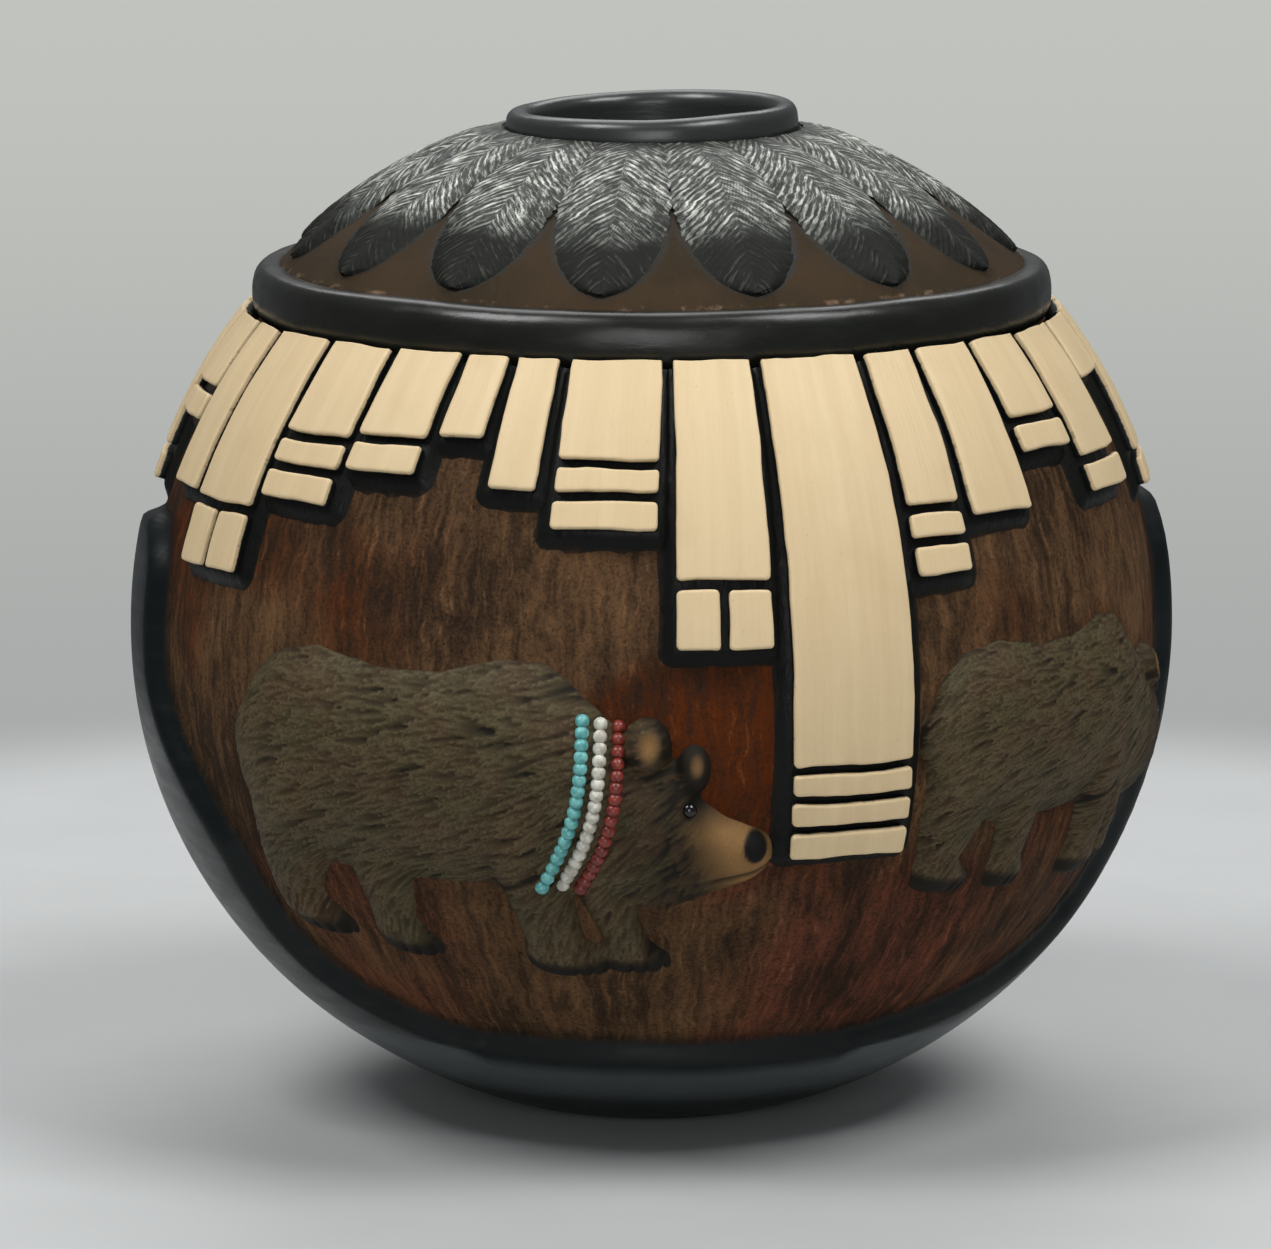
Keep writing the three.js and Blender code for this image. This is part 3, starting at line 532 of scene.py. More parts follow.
for vert in ring.verts:
    spot = vert.co / MM
    press = 0.35 * noise.noise(spot * 0.05) + 0.16 * noise.noise(spot * 0.15)
    vert.co.x *= 1 + press / ring_outer
    vert.co.y *= 1 + press / ring_outer
    vert.co.z += MM * 0.35 * noise.noise(Vector((spot.x, spot.y, 60)) * 0.045)

black_slip, tree, shader = clay_material("rubbed_black_slip")
slip = grouped(tree, rubbed, Drag=0.6)
black = mixed(tree, 0.6, slip["Color"], colour(22, 22, 14))
dressed(tree, shader, black, sums(tree, "MULTIPLY", slip["Gloss"], 0.8), 0.38)
raised(tree, shader, slip["Height"], 0.0001)
fired(ring, "black_shoulder_ring", ["shoulder_ring"], [black_slip])


# --- Dome -------------------------------------------------------------------------------------------------
# The closed-in top of the vessel, raised from coils inside the ring. Between the feathers its clay shows
# brown, scraped and matt, darkened to black round the feathers and along the ring: part slip, part painted
# shade.
MOUTH_RADIUS, LIP_WIDTH, LIP_RECESS, DOME_COLUMNS = 23.4, 4.6, 1.2, 360
skirt_radius = ring_inner - SEAM
recess_radius = MOUTH_RADIUS + LIP_WIDTH + SEAM
skirt_latitude = math.degrees(math.acos(skirt_radius / BODY_RADIUS))
recess_latitude = math.degrees(math.acos(recess_radius / BODY_RADIUS))
recess_floor = wall_section(recess_latitude, 0)[1] - LIP_RECESS
mouth_latitude = math.degrees(math.acos(MOUTH_RADIUS / (BODY_RADIUS - WALL)))
inside_skirt = math.degrees(math.asin((ring_floor - EQUATOR) / (BODY_RADIUS - WALL)))
FEATHERS, FIRST_FEATHER, FEATHER_WIDTH, FEATHER_TIP_ROUND = 15, -8.0, 21.2, 16.0
FEATHER_ROOT_GAP, FEATHER_TIP_GAP = 0.6, 2.8
feather_share = 360 / FEATHERS
feather_root = recess_latitude - math.degrees(FEATHER_ROOT_GAP / BODY_RADIUS)
ring_latitude = math.degrees(math.asin((ring_top - EQUATOR) / BODY_RADIUS))
feather_tip = ring_latitude + math.degrees(FEATHER_TIP_GAP / BODY_RADIUS)
feather_length = math.radians(feather_root - feather_tip) * BODY_RADIUS


def feather_half_width(from_tip, latitude):
    """Half-width of a feather along its length, kept inside its share of the round."""
    short = max(0.0, 1 - max(from_tip, 0) / FEATHER_TIP_ROUND)
    blade = FEATHER_WIDTH / 2 * max(0.12, math.sqrt(1 - short * short))
    room = math.radians(180 / FEATHERS) * BODY_RADIUS * math.cos(math.radians(latitude)) + 0.1
    return min(blade, room)


dome = turned(
    [(skirt_radius, ring_floor)]
    + [wall_section(latitude, 0) for latitude in spread(skirt_latitude, recess_latitude, 0.6)]
    + [(recess_radius, recess_floor), (MOUTH_RADIUS, recess_floor)]
    + [wall_section(latitude, WALL) for latitude in spread(mouth_latitude, inside_skirt, 4)]
    + [(skirt_radius, ring_floor)],
    DOME_COLUMNS,
)
near_mark = dome.verts.layers.float.new("near_black")
ring_mark = dome.verts.layers.float.new("from_ring")
for vert in dome.verts:
    latitude, longitude, depth = found_on_wall(vert.co)
    if depth > 1 or vert.co.z < (ring_floor + 0.1) * MM:
        vert[near_mark] = 0.0 if latitude > 60 else 1.0
        continue
    aside = (longitude - FIRST_FEATHER) % feather_share
    aside = min(aside, feather_share - aside)
    aside = math.radians(aside) * BODY_RADIUS * math.cos(math.radians(latitude))
    from_tip = math.radians(latitude - feather_tip) * BODY_RADIUS
    past_tip = math.hypot(max(-from_tip, 0), max(aside - feather_half_width(from_tip, latitude), 0))
    from_ring = math.radians(latitude - ring_latitude) * BODY_RADIUS
    vert[near_mark], vert[ring_mark] = past_tip, from_ring
    vert.co = on_wall(latitude, longitude, 0.14 * noise.noise(vert.co / MM * 0.06))

dome_slip, tree, shader = clay_material("scraped_dome_slip")
place = node(tree, "TexCoord").outputs["Object"]
near = shaken(tree, mark(tree, "near_black"), grain(tree, place, 520.0, 4.0, 0.7), 3.2)
scraped = grouped(tree, upright, Width=0.0009, Stretch=0.5)["Strokes"]
speckle = grain(tree, place, 1700.0, 3.0, 0.7)
cloud = stepped(tree, grain(tree, place, 70.0, 3.0), 0.35, 0.65)
brown = mixed(tree, cloud, colour(45, 35, 21), colour(54, 41, 26))
brown = touched(tree, brown, stepped(tree, scraped, 0.55, 0.8), 0.25, colour(68, 52, 33))
brown = touched(tree, brown, stepped(tree, speckle, 0.5, 0.7), 0.35, colour(42, 33, 20))
slip = grouped(tree, rubbed, Drag=0.5)
# Darkened to black round the feathers and along the ring: part slip, part painted shade where the dome meets
# them.
bare = stepped(tree, near, -0.5, 1.5)
brown = mixed(tree, bare, mixed(tree, 0.5, slip["Color"], colour(44, 42, 36)), brown)
scuffed = stepped(tree, grain(tree, place, 210.0, 4.0, 0.7), 0.52, 0.66)
scuffed = sums(tree, "MULTIPLY", stepped(tree, mark(tree, "from_ring"), 1.2, 0.4), scuffed)
brown = touched(tree, brown, scuffed, 0.5, colour(132, 108, 86))
dressed(tree, shader, brown, mixed_values(tree, bare, slip["Gloss"], 0.75), 0.12)
raised(tree, shader, sums(tree, "ADD", sums(tree, "MULTIPLY", scraped, 0.5), speckle), 0.00012)
fired(dome, "brown_dome", ["shoulder_dome"], [dome_slip])


# --- Feathers ---------------------------------------------------------------------------------------------
# Fifteen blades of charcoal slip side by side on the dome, from the lip towards the ring. The barbs are scored
# down and out from the shaft. The ridges of the upper two thirds are silver grey, part slip, part painted
# highlight.
BLADE_RISE, SHAFT_DIP, BLADE_COLUMNS, BLADE_ROWS = 1.5, 0.5, 48, 120
BARB_PITCH, BARB_SLANT, BARB_RISE = 1.7, 1.25, 0.34

feather_slip, tree, shader = clay_material("scored_feather_slip", 0.5)
ridge = mark(tree, "ridge")
silver = mark(tree, "silver")
blade = mark(tree, "blade", "Vector")
along = node(tree, "Mapping", {"Vector": blade, "Scale": (1.0, 0.12, 1.0)}).outputs[0]
streak = grain(tree, along, 2.2, 3.0, 0.65)
patch = grain(tree, blade, 0.3, 3.0, 0.6)
crest = stepped(tree, shaken(tree, sums(tree, "MULTIPLY", ridge, 0.6), streak, 1.7), 0.1, 0.62)
charcoal = mixed(tree, streak, colour(10, 12, 10), colour(28, 30, 25))
# The silver grey on the ridges of the upper two thirds is part slip colour, part painted highlight on the
# crests.
sheen = sums(tree, "MULTIPLY", silver, stepped(tree, patch, 0.3, 0.65, 0.35, 1.0))
blades = touched(tree, charcoal, sheen, 0.42, colour(92, 96, 92))
shine = sums(tree, "MULTIPLY", crest, sheen)
blades = mixed(tree, shine, blades, colour(206, 207, 198))
dim = sums(tree, "MULTIPLY", stepped(tree, crest, 0.5, 1.0), sums(tree, "SUBTRACT", 1.0, silver))
blades = touched(tree, blades, dim, 0.22, colour(112, 111, 101))
dressed(tree, shader, blades, stepped(tree, shine, 0.0, 1.0, 0.6, 0.4), 0.14)
raised(tree, shader, streak, 0.00018, 0.7)

for number in range(FEATHERS):
    middle = FIRST_FEATHER + number * feather_share
    feather = bmesh.new()
    ridge_mark = feather.verts.layers.float.new("ridge")
    silver_mark = feather.verts.layers.float.new("silver")
    blade_mark = feather.verts.layers.float_vector.new("blade")
    bmesh.ops.create_grid(feather, x_segments=BLADE_COLUMNS, y_segments=BLADE_ROWS, size=1)
    for vert in feather.verts:
        over, up = vert.co.x, (vert.co.y + 1) / 2 * feather_length
        latitude = feather_tip + math.degrees(up / BODY_RADIUS)
        out = abs(over) * feather_half_width(up, latitude)
        side = 1 if over > 0 else -1
        seed = Vector((number * 7.0, side * 3.0, 0))
        sway = 0.45 * noise.noise(Vector((up * 0.16, out * 0.1, 0)) + seed)
        phase = (up + BARB_SLANT * out - 0.02 * out * out) / BARB_PITCH + sway + 0.5 * (side > 0)
        barb = (0.5 + 0.5 * math.cos(math.tau * phase)) ** 0.8
        strength = 0.62 + 0.6 * noise.noise(Vector((round(phase) * 1.7, out * 0.16, 4)) + seed)
        shaft = math.exp(-((out / 0.6) ** 2))
        from_root = feather_length - up
        rim = -0.2 + 0.8 * soft_step(13, 22, up)
        crown = rim + (BLADE_RISE - rim) * max(0.0, 1 - abs(over) ** 2.2)
        rise = crown - SHAFT_DIP * math.exp(-((out / 1.8) ** 2))
        rise += BARB_RISE * (barb - 0.5) * strength * (1 - shaft) * min(1.0, 6 * (1 - abs(over)))
        rise *= 0.3 + 0.7 * soft_step(0, 9, from_root)
        vert[ridge_mark] = barb * strength * (1 - 0.25 * shaft)
        wear_and_sheen = up + 4.0 * noise.noise(Vector((up * 0.12, over * 1.5, 8)) + seed)
        silver = soft_step(11.0, 21.0, wear_and_sheen) * (0.35 + 0.65 * soft_step(0.5, 9.0, from_root))
        vert[silver_mark] = silver * (1 - 0.4 * abs(over) ** 6)
        vert[blade_mark] = Vector((phase * 1.3, out - 0.6 * up, 0)) + seed * 5
        fringe = 1 + 0.06 * noise.noise(Vector((up * 0.3, 0, 2)) + seed)
        fringe += 0.06 * noise.noise(Vector((up * 1.1, 0, 6)) + seed)
        aside = math.degrees(side * out * fringe / (BODY_RADIUS * math.cos(math.radians(latitude))))
        vert.co = on_wall(latitude, middle + aside, -rise)
    bmesh.ops.recalc_face_normals(feather, faces=feather.faces[:])
    label = f"feather_{number + 1:02d}"
    fired(feather, f"dome_{label}", [label], [feather_slip])


# --- Lip --------------------------------------------------------------------------------------------------
# A round coil set into the top of the dome and smoothed with wet fingers, a little higher on the right. It is
# coated with black slip inside and out and rubbed brighter than the rest.
LIP_HEIGHT, LIP_LEAN, LIP_COLUMNS = 5.2, 1.0, 200
lip_floor = recess_floor + SEAM
lip_outer, lip_top = MOUTH_RADIUS + LIP_WIDTH, lip_floor + LIP_HEIGHT
lip_round = LIP_WIDTH / 2
lip_hem = (MOUTH_RADIUS - 0.2, recess_floor - 3.0)  # smeared down inside the mouth
lip_profile = [lip_hem, (MOUTH_RADIUS, lip_floor), (MOUTH_RADIUS, lip_top - lip_round - 0.8)]
for a in range(0, 181, 12):
    in_by, up_by = lip_round * math.cos(math.radians(a)), lip_round * math.sin(math.radians(a))
    lip_profile.append((MOUTH_RADIUS + lip_round - in_by, lip_top - lip_round + up_by))
lip_profile += [(lip_outer + 0.1, lip_top - lip_round - 0.9), (lip_outer, lip_floor + 0.6)]
lip_profile += [(lip_outer - 0.4, lip_floor - 0.2), (lip_outer - 2, lip_floor - 0.25), lip_hem]
lip = turned(lip_profile, LIP_COLUMNS)
for vert in lip.verts:
    spot = vert.co / MM
    share = held((spot.z - lip_floor) / LIP_HEIGHT)
    press = 0.3 * noise.noise(spot * 0.07 + Vector((3, 1, 0))) * share
    lift = LIP_LEAN * spot.x / lip_outer + 0.25 * noise.noise(Vector((spot.x, spot.y, 7)) * 0.06)
    vert.co.x *= 1 + press / lip_outer
    vert.co.y *= 1 + press / lip_outer
    vert.co.z += MM * share * lift

lip_slip, tree, shader = clay_material("bright_black_slip")
slip = grouped(tree, rubbed, Drag=0.6)
black = mixed(tree, 0.17, slip["Color"], colour(92, 97, 93))
dressed(tree, shader, black, sums(tree, "MULTIPLY", slip["Gloss"], 0.8))
raised(tree, shader, slip["Height"], 0.0001)
fired(lip, "black_mouth_lip", ["mouth_lip"], [lip_slip])


# --- Bears ------------------------------------------------------------------------------------------------
# Four bears in procession, modelled in soft clay and pressed on to the etched ground. The coat is carved lock
# by lock in olive-brown slip, with painted highlight on its crests and painted shade in the gaps and at the
# low edges of the relief. The muzzle and the ears are tan, the nose, claws and eyes black.
BEAR_WALL, BEAR_PITCH = 97.0, math.radians(-4)
BEARS = (("front_large", -24.6, 0.78, 25.0), ("front_small", 53.5, 0.63, 39.0))
BEARS += tuple((name.replace("front", "back"), turn + 180, size, stand) for name, turn, size, stand in BEARS)
TRUNK = (  # from tail to nose: place, belly, back and rise
    (-60.5, -2, 13, 2.6), (-56, -15, 23, 4.6), (-48, -23, 30, 5.8), (-35, -24.5, 34, 6.2), (-18, -23, 32, 6.2),
    (0, -22, 33.5, 6.2), (14, -20.5, 38.5, 6.6), (26, -20, 38.5, 6.8), (37, -22, 30, 6.4), (46, -26, 22, 7),
    (54, -27, 18.5, 7.4), (60, -25, 13, 7), (64, -23.5, 5, 6.4), (69, -22, 0, 5.8), (75, -20, -3.5, 5),
    (78, -17.5, -5.5, 3.4),
)
EARS = ((62, 13.2, 4.2, 7.2, 5.8), (50.8, 19.0, 6.0, 8.2, 8.4))  # middle, half-width, half-height and rise
LIMBS = (  # from the sole up: height, two sides and rise
    ((-47, 38, 54, 2.6), (-42.3, 37, 54, 3.6), (-35.3, 38, 48, 3.6), (-20.5, 33, 46, 4), (-6, 28, 42, 3.4)),
    ((-47, -21, -3, 2.6), (-42.3, -22, -3, 3.6), (-35.3, -22, -9, 3.6), (-21, -26, -8, 4), (-7, -30, -8, 3.4)),
    (
        (-47, 19, 41, 3.4), (-42.3, 18, 41, 5), (-36.3, 19, 34, 5.2),
        (-24, 16, 32, 6), (-8, 9, 34, 7.6), (8, 10, 32, 6),
    ),
    (
        (-47, -51, -28, 3.4), (-42.3, -52, -28, 5), (-35.3, -53, -37, 5.2),
        (-22.5, -56, -32, 6.2), (-7, -58, -24, 7.6), (10.5, -55, -26, 6),
    ),
)
TOE_TIPS, TOE_PITCH = (41.0, 54.0, -28.0, -3.0), 3.6
EYE, EYE_RADIUS = (60.5, 3.5), 1.9
LOCKS, LOCK_SEED, LOCK_CELLS = 4800, 11, 28  # a lock covers no more than these cells round its root
PELT_STEP, PELT_BACK, PELT_NOSE, PELT_FOOT, PELT_TOP = 0.6, -68, 86, -54, 44
PELT_HEM = -1.6  # what would lie deeper than this under the ground is cut off


def swell(place, height, rows, last):
    """Rise of one form, rounded across its rows. Past the last row it falls by a share, `last`, of its slope."""
    stations, low, high, rise = (np.array(part) for part in zip(*rows))
    low, high = np.interp(place, stations, low), np.interp(place, stations, high)
    across = np.abs(2 * (height - low) / (high - low) - 1)
    past = np.maximum(stations[0] - place, 0) + np.maximum(place - stations[-1], 0) * last
    return np.interp(place, stations, rise) * (1 - across**2.6) - 1.3 * past


def blended(first, second, reach):
    share = np.clip(0.5 + 0.5 * (first - second) / reach, 0, 1)
    return second * (1 - share) + first * share + reach * share * (1 - share)


def eased(field, rounds):
    for _ in range(rounds):
        wide = np.pad(field, 1, mode="edge")
        field = (wide[:-2, 1:-1] + wide[2:, 1:-1] + wide[1:-1, :-2] + wide[1:-1, 2:] + 2 * field) / 6
    return field


def dent(across, up, x, y, wide, tall):
    return np.exp(-(((across - x) / wide) ** 2) - ((up - y) / tall) ** 2)


def pelt_cell(x, y):
    """Row and column of a place on the flat bear."""
    return round((y - PELT_FOOT) / PELT_STEP), round((x - PELT_BACK) / PELT_STEP)


# The flat model of one bear, facing right, as rises over a grid.
across, up = np.meshgrid(np.arange(PELT_BACK, PELT_NOSE, PELT_STEP), np.arange(PELT_FOOT, PELT_TOP, PELT_STEP))
body = swell(across, up, TRUNK, 1)
for limb in LIMBS:
    body = blended(body, swell(up, across, limb, 0.6), 0.9)
for x, y, wide, tall, rise in EARS:
    round_ear = ((across - x) / wide) ** 2 + ((up - y) / tall) ** 2
    body = blended(body, np.maximum(rise * (1 - round_ear**1.5), -9), 0.5)
body = eased(np.maximum(body, -4), 6)
eye_socket = dent(across, up, *EYE, 3.2, 2.6)
nose = np.clip(2.2 - 2 * ((across - 75.6) / 3.2) ** 2 - 2 * ((up + 8.2) / 4.2) ** 2, 0, 1)
mouth = np.exp(-(((up + 16.2 - 0.09 * (across - 70)) / 0.8) ** 2)) * np.clip((across - 63) / 3, 0, 1)
ear_hollow = np.maximum(dent(across, up, 51.2, 20.4, 3.2, 4.6), 0.8 * dent(across, up, 62.3, 14.8, 2.1, 3.8))
toes = np.zeros_like(body)
claws = np.zeros_like(body)
for front in TOE_TIPS:
    for toe in range(3):
        toes = np.maximum(toes, dent(across, up, front - 2.6 - TOE_PITCH * toe, -46.5, 0.55, 4.2))
        claws = np.maximum(claws, dent(across, up, front - 0.8 - TOE_PITCH * toe, -47.8, 1.0, 1.7))
body = body - 1.1 * eye_socket - 1.0 * mouth - 2.6 * ear_hollow - 1.2 * toes + 0.7 * nose

# The coat: locks that lie back and down over the body and straight down the legs.
knife = random.Random(LOCK_SEED)
bald = np.clip((across - 62 + 0.25 * (up + 8)) / 6, 0, 1)
bald = np.maximum(bald, np.clip(2.4 * ear_hollow - 1, 0, 1))
bald = np.maximum(bald, np.clip((-40.5 - up) / 3, 0, 1))
coat = np.zeros_like(body)
for _ in range(LOCKS):
    x, y = knife.uniform(-60, 70), knife.uniform(-44, 40)
    row, column = pelt_cell(x, y)
    if body[row, column] < -2.0 or bald[row, column] > 0.6:
        continue
    legs, rump = held((-14 - y) / 12), held((-38 - x) / 16)
    chest, head = held((x - 26) / 14) * held((14 - y) / 18), held((x - 46) / 12)
    angle = 192 + 14 * held((24 - y) / 20) + 46 * rump + 26 * chest
    angle = math.radians(angle + (262 - angle) * legs + knife.uniform(-9, 9))
    long, wide = knife.uniform(6, 12) * (1 - 0.5 * head), knife.uniform(0.7, 1.3) * (1 - 0.25 * head)
    curl = knife.uniform(-0.012, 0.02)
    near = tuple(slice(max(cell - LOCK_CELLS, 0), cell + LOCK_CELLS) for cell in (row, column))
    along = (across[near] - x) * math.cos(angle) + (up[near] - y) * math.sin(angle)
    aside = (up[near] - y) * math.cos(angle) - (across[near] - x) * math.sin(angle) + curl * along**2
    share = np.clip(along / long, 0, 1)
    lock = (0.35 + 0.65 * share) * (1 - (aside / (wide * (1.02 - share**2.5))) ** 2)
    lock = np.where((along > 0) & (along < long), lock, 0) * (1 - 0.3 * head)
    coat[near] = np.maximum(coat[near], lock)
coat = coat * (1 - bald)
outside = np.clip(0.5 - body, 0, 1)
pelt = body + (0.62 * coat - 0.3) * (1 - outside)
muzzle = np.clip((across - 60 + 0.3 * (up + 10)) / 10, 0, 1) * np.clip((4 - up) / 7, 0, 1)
tan = np.clip(np.maximum(muzzle, 1.6 * ear_hollow - 0.6), 0, 1)
black = np.clip(np.maximum.reduce([1.3 * nose, 1.2 * claws, 0.8 * mouth, 0.6 * toes, 0.7 * eye_socket]), 0, 1)


def pitched(x, y):
    """A place of the flat bear, tipped a little nose down."""
    tip, level = math.sin(BEAR_PITCH), math.cos(BEAR_PITCH)
    return x * level - y * tip, x * tip + y * level


lowest_sole = min(pitched(x, limb[0][0])[1] for limb in LIMBS for x in limb[0][1:3])


def bear_bend(longitude, size, stand):
    """Gives a function that takes a place of the flat bear to its latitude and longitude on the wall."""
    middle = BELT_LATITUDE + math.degrees((stand - lowest_sole * size) / BODY_RADIUS)
    turn, tilt = math.radians(longitude), math.radians(middle)
    outward = Vector((math.cos(tilt) * math.sin(turn), -math.cos(tilt) * math.cos(turn), math.sin(tilt)))
    forward = Vector((math.cos(turn), math.sin(turn), 0))
    upward = outward.cross(forward)

    def bend(x, y):
        x, y = pitched(x, y)
        far, way = math.hypot(x, y) * size / BEAR_WALL, math.atan2(y, x)
        spot = outward * math.cos(far) + (forward * math.cos(way) + upward * math.sin(way)) * math.sin(far)
        return math.degrees(math.asin(spot.z)), math.degrees(math.atan2(spot.x, -spot.y))

    return bend


bear_slip, tree, shader = clay_material("olive_bear_slip", 0.55)
flat = mark(tree, "flat", "Vector")
coat_crest, rise = mark(tree, "coat"), mark(tree, "rise")
fine = grain(tree, flat, 1.6, 4.0, 0.7)
tint = grain(tree, flat, 0.07, 3.0)
crest = stepped(tree, shaken(tree, coat_crest, fine, 0.8), 0.4, 1.1)
olive = mixed(tree, stepped(tree, tint, 0.4, 0.62), colour(54, 47, 29), colour(59, 44, 28))
# Dark gaps between the locks are painted shade, and the paler crests are painted highlight.
fur = mixed(tree, stepped(tree, coat_crest, 0.0, 0.6), colour(26, 22, 15), olive)
fur = touched(tree, fur, crest, 0.6, colour(106, 95, 69))
muzzle = mixed(tree, fine, colour(112, 84, 50), colour(160, 122, 76))
fur = touched(tree, fur, mark(tree, "tan"), 0.85, muzzle)
fur = mixed(tree, mark(tree, "black"), fur, colour(13, 12, 11))
# Darker where the relief is low, at its edges: painted shade where the bear meets the ground.
fur = mixed(tree, stepped(tree, rise, 0.4, -0.6), fur, colour(26, 22, 17))
dressed(tree, shader, fur, stepped(tree, crest, 0.0, 1.0, 0.66, 0.5), 0.15)
raised(tree, shader, fine, 0.0002, 0.6)
eye_black, tree, shader = clay_material("eye_black", 0.18)
shader.inputs["Base Color"].default_value = colour(14, 13, 12)

for name, longitude, size, stand in BEARS:
    bend = bear_bend(longitude, size, stand)
    bear = bmesh.new()
    marks = {key: bear.verts.layers.float.new(key) for key in ("coat", "rise", "tan", "black")}
    flat_mark = bear.verts.layers.float_vector.new("flat")
    rows, columns = pelt.shape
    bmesh.ops.create_grid(bear, x_segments=columns - 1, y_segments=rows - 1, size=0.5)
    sunk = []
    for vert in bear.verts:
        column, row = round((vert.co.x + 0.5) * (columns - 1)), round((vert.co.y + 0.5) * (rows - 1))
        x, y, high = float(across[row, column]), float(up[row, column]), float(pelt[row, column])
        if high < PELT_HEM:
            sunk.append(vert)
            continue
        latitude, round_pot = bend(x, y)
        high = min(high, 1.6 * (panel_edge(latitude, round_pot) - 1.4))
        vert[flat_mark] = (x, y, 0)
        for key, field in (("coat", coat), ("tan", tan), ("black", black)):
            vert[marks[key]] = float(field[row, column])
        vert[marks["rise"]] = high
        vert.co = on_wall(latitude, round_pot, CARVE_DEPTH - high * size)
    bmesh.ops.delete(bear, geom=sunk, context="VERTS")
    high = float(pelt[pelt_cell(*EYE)]) - 0.3
    eye = bmesh.ops.create_icosphere(bear, subdivisions=3, radius=EYE_RADIUS * size * MM)["verts"]
    bmesh.ops.translate(bear, vec=on_wall(*bend(*EYE), CARVE_DEPTH - high * size), verts=eye)
    for face in {face for vert in eye for face in vert.link_faces}:
        face.material_index = 1
    bmesh.ops.recalc_face_normals(bear, faces=bear.faces[:])
    fired(bear, f"relief_bear_{name}", [f"bear_{name}"], [bear_slip, eye_black])


# --- Bead collars -----------------------------------------------------------------------------------------
# Three rows of clay beads round the neck of each large bear, pressed into the coat one by one: turquoise
# behind, white in the middle and deep red towards the head.
COLLAR_NECK, COLLAR_REACH, COLLAR_BOW, COLLAR_LEAN = (35.0, 4.0), 23.0, 4.0, math.radians(-12)
BEADS_IN_ROW, BEAD_PITCH, BEAD_RADIUS, BEAD_RISE = 17, 4.2, 1.75, 0.35
bead_slips = []
for name, pale, deep in (
    ("turquoise_beads", (112, 182, 178), (74, 142, 142)),
    ("white_beads", (206, 205, 194), (168, 164, 150)),
    ("red_beads", (128, 46, 34), (88, 28, 22)),
):
    material, tree, shader = clay_material(name, 0.38)
    mottle = grain(tree, node(tree, "TexCoord").outputs["Object"], 700.0, 3.0, 0.6)
    mottled = mixed(tree, stepped(tree, mottle, 0.35, 0.65), colour(*deep), colour(*pale))
    tree.links.new(mottled, shader.inputs["Base Color"])
    raised(tree, shader, mottle, 0.0001, 0.5)
    bead_slips.append(material)

for name, longitude, size, stand in BEARS[::2]:
    bend = bear_bend(longitude, size, stand)
    beads = bmesh.new()
    for line in range(3):
        for i in range(BEADS_IN_ROW):
            along = (i + 0.5) / BEADS_IN_ROW - 0.5
            x = (line - 1) * BEAD_PITCH + COLLAR_BOW * math.cos(along * math.pi)
            y = along * 2 * COLLAR_REACH
            x, y = (
                COLLAR_NECK[0] + x * math.cos(COLLAR_LEAN) - y * math.sin(COLLAR_LEAN),
                COLLAR_NECK[1] + x * math.sin(COLLAR_LEAN) + y * math.cos(COLLAR_LEAN),
            )
            high = float(body[pelt_cell(x, y)]) + BEAD_RISE
            bead = bmesh.ops.create_icosphere(beads, subdivisions=2, radius=BEAD_RADIUS * size * MM)["verts"]
            bmesh.ops.translate(beads, vec=on_wall(*bend(x, y), CARVE_DEPTH - high * size), verts=bead)
            for face in {face for vert in bead for face in vert.link_faces}:
                face.material_index = line
    bmesh.ops.recalc_face_normals(beads, faces=beads.faces[:])
    side = name.split("_")[0]
    fired(beads, f"bead_rows_{side}", [f"bead_collar_{side}"], bead_slips)


# --- Table, light and camera ------------------------------------------------------------------------------
# A pale grey table top that fades into a plain grey wall a little way off. Two softboxes hang high on the left
# and the right, a broad one fills in low from the front, and one lights the top from behind. The camera looks
# down on the pot by 10 degrees.
TABLE_RADIUS, TABLE_FADES, TABLE_GONE = 0.7, 0.33, 0.42
CAMERA_AWAY, CAMERA_RISE, CAMERA_LENS, CAMERA_ASIDE = 1.5, math.radians(10), 218.9, -0.0032
table = bmesh.new()
bmesh.ops.create_circle(table, cap_ends=True, segments=96, radius=TABLE_RADIUS)
mesh = bpy.data.meshes.new("table_top")
table.to_mesh(mesh)
table.free()
table_top = bpy.data.objects.new("table_top", mesh)
bpy.context.scene.collection.objects.link(table_top)

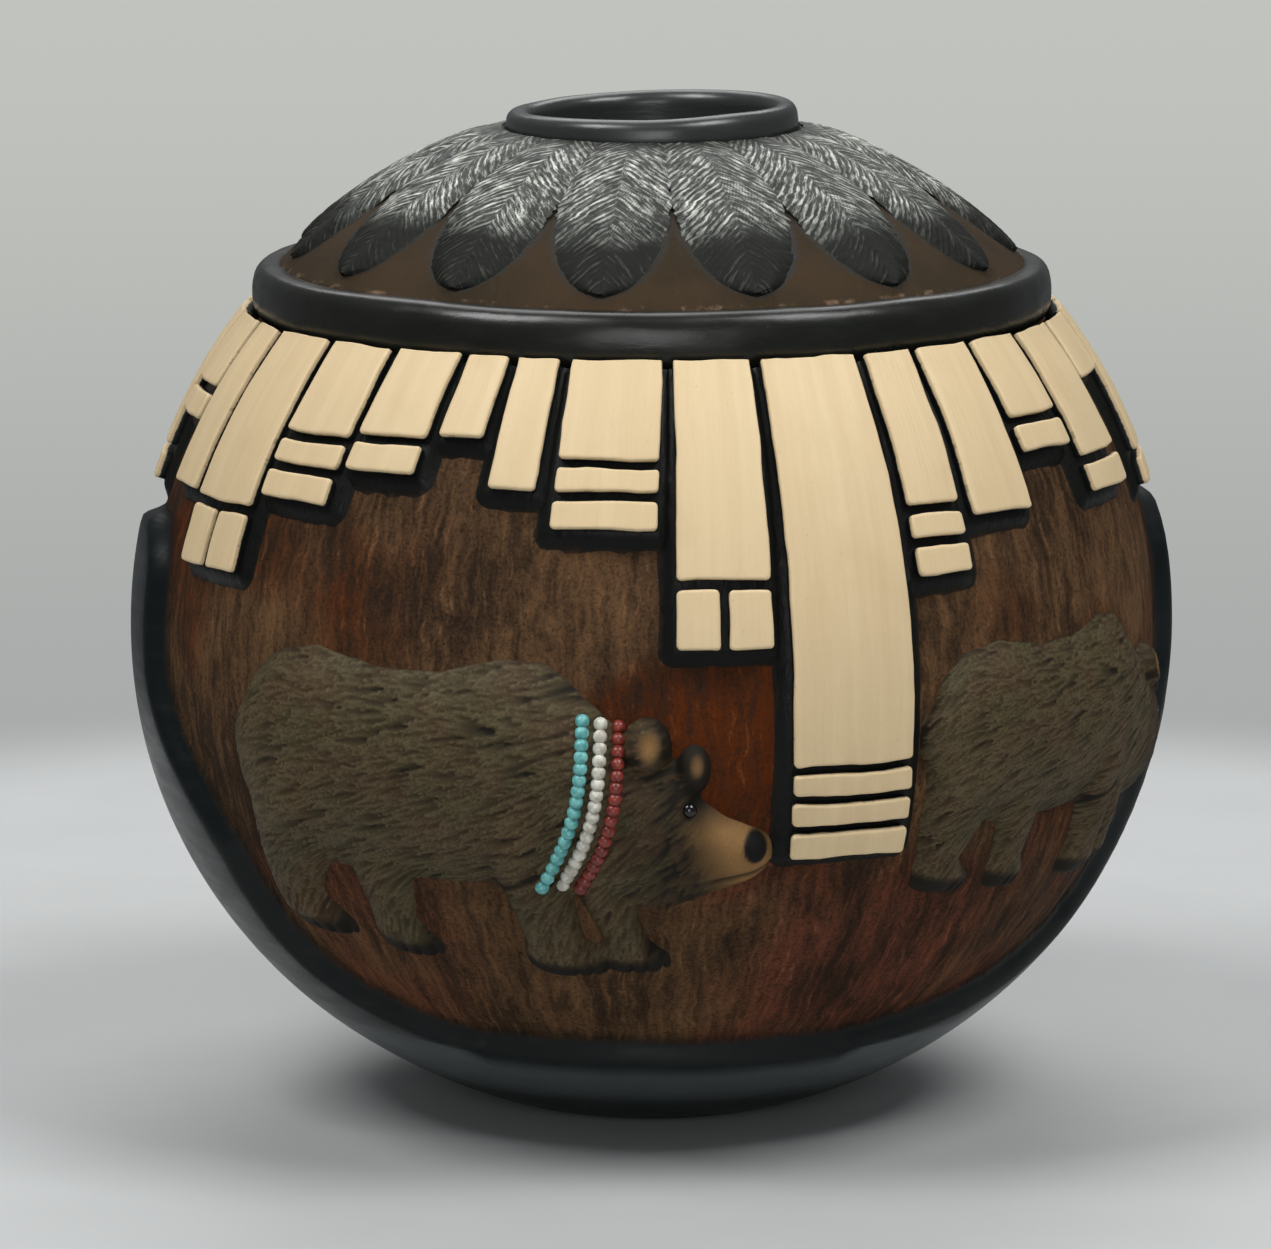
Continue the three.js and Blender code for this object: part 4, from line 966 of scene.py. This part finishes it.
table_grey, tree, shader = clay_material("table_grey", 0.7)
place = node(tree, "TexCoord").outputs["Object"]
mottle = grain(tree, place, 30.0, 3.0)
tree.links.new(mixed(tree, mottle, colour(173, 175, 175), colour(181, 183, 183)), shader.inputs["Base Color"])
clear = node(tree, "BsdfTransparent").outputs[0]
far = node(tree, "VectorMath", {0: place}, operation="LENGTH").outputs["Value"]
far = stepped(tree, far, TABLE_FADES, TABLE_GONE)
both = node(tree, "MixShader", {0: far, 1: shader.outputs[0], 2: clear}).outputs[0]
tree.links.new(both, tree.nodes["Material Output"].inputs["Surface"])
mesh.materials.append(table_grey)

world = bpy.data.worlds.new("plain_wall")
bpy.context.scene.world = world
world.use_nodes = True
tree = world.node_tree
shader = tree.nodes["Background"]
rays = node(tree, "LightPath").outputs
way = node(tree, "SeparateXYZ", {0: node(tree, "TexCoord").outputs["Generated"]}).outputs[2]
wall_grey = mixed(tree, stepped(tree, way, -0.19, -0.09), colour(170, 172, 171), colour(193, 195, 190))
seen = sums(tree, "MAXIMUM", rays["Is Camera Ray"], rays["Is Transmission Ray"])
tree.links.new(mixed(tree, seen, colour(104, 106, 108), wall_grey), shader.inputs["Color"])

for name, watts, size, spot, aim in (
    ("left_softbox", 11.7, 0.55, (-0.66, -0.42, 1.2), (0, 0, 0.1)),
    ("right_softbox", 11.7, 0.55, (0.66, -0.42, 1.2), (0, 0, 0.1)),
    ("front_softbox", 8.2, 0.8, (0.0, -1.8, 0.32), (0, 0, 0.09)),
    ("back_softbox", 9.0, 1.0, (0.0, 0.8, 1.1), (0, 0, 0.05)),
):
    lamp = bpy.data.lights.new(name, "AREA")
    lamp.energy, lamp.size = watts, size
    softbox = bpy.data.objects.new(name, lamp)
    softbox.location = spot
    softbox.rotation_euler = (Vector(aim) - Vector(spot)).to_track_quat("-Z", "Y").to_euler()
    bpy.context.scene.collection.objects.link(softbox)

lens = bpy.data.cameras.new("camera")
lens.sensor_fit, lens.sensor_width, lens.lens = "HORIZONTAL", 36.0, CAMERA_LENS
camera = bpy.data.objects.new("camera", lens)
aim = Vector((CAMERA_ASIDE, 0, EQUATOR * MM))
back = Vector((0, -math.cos(CAMERA_RISE), math.sin(CAMERA_RISE)))
camera.location = aim + back * CAMERA_AWAY
camera.rotation_euler = (-back).to_track_quat("-Z", "Y").to_euler()
bpy.context.scene.collection.objects.link(camera)
bpy.context.scene.camera = camera
bpy.context.scene.view_settings.view_transform = "Standard"
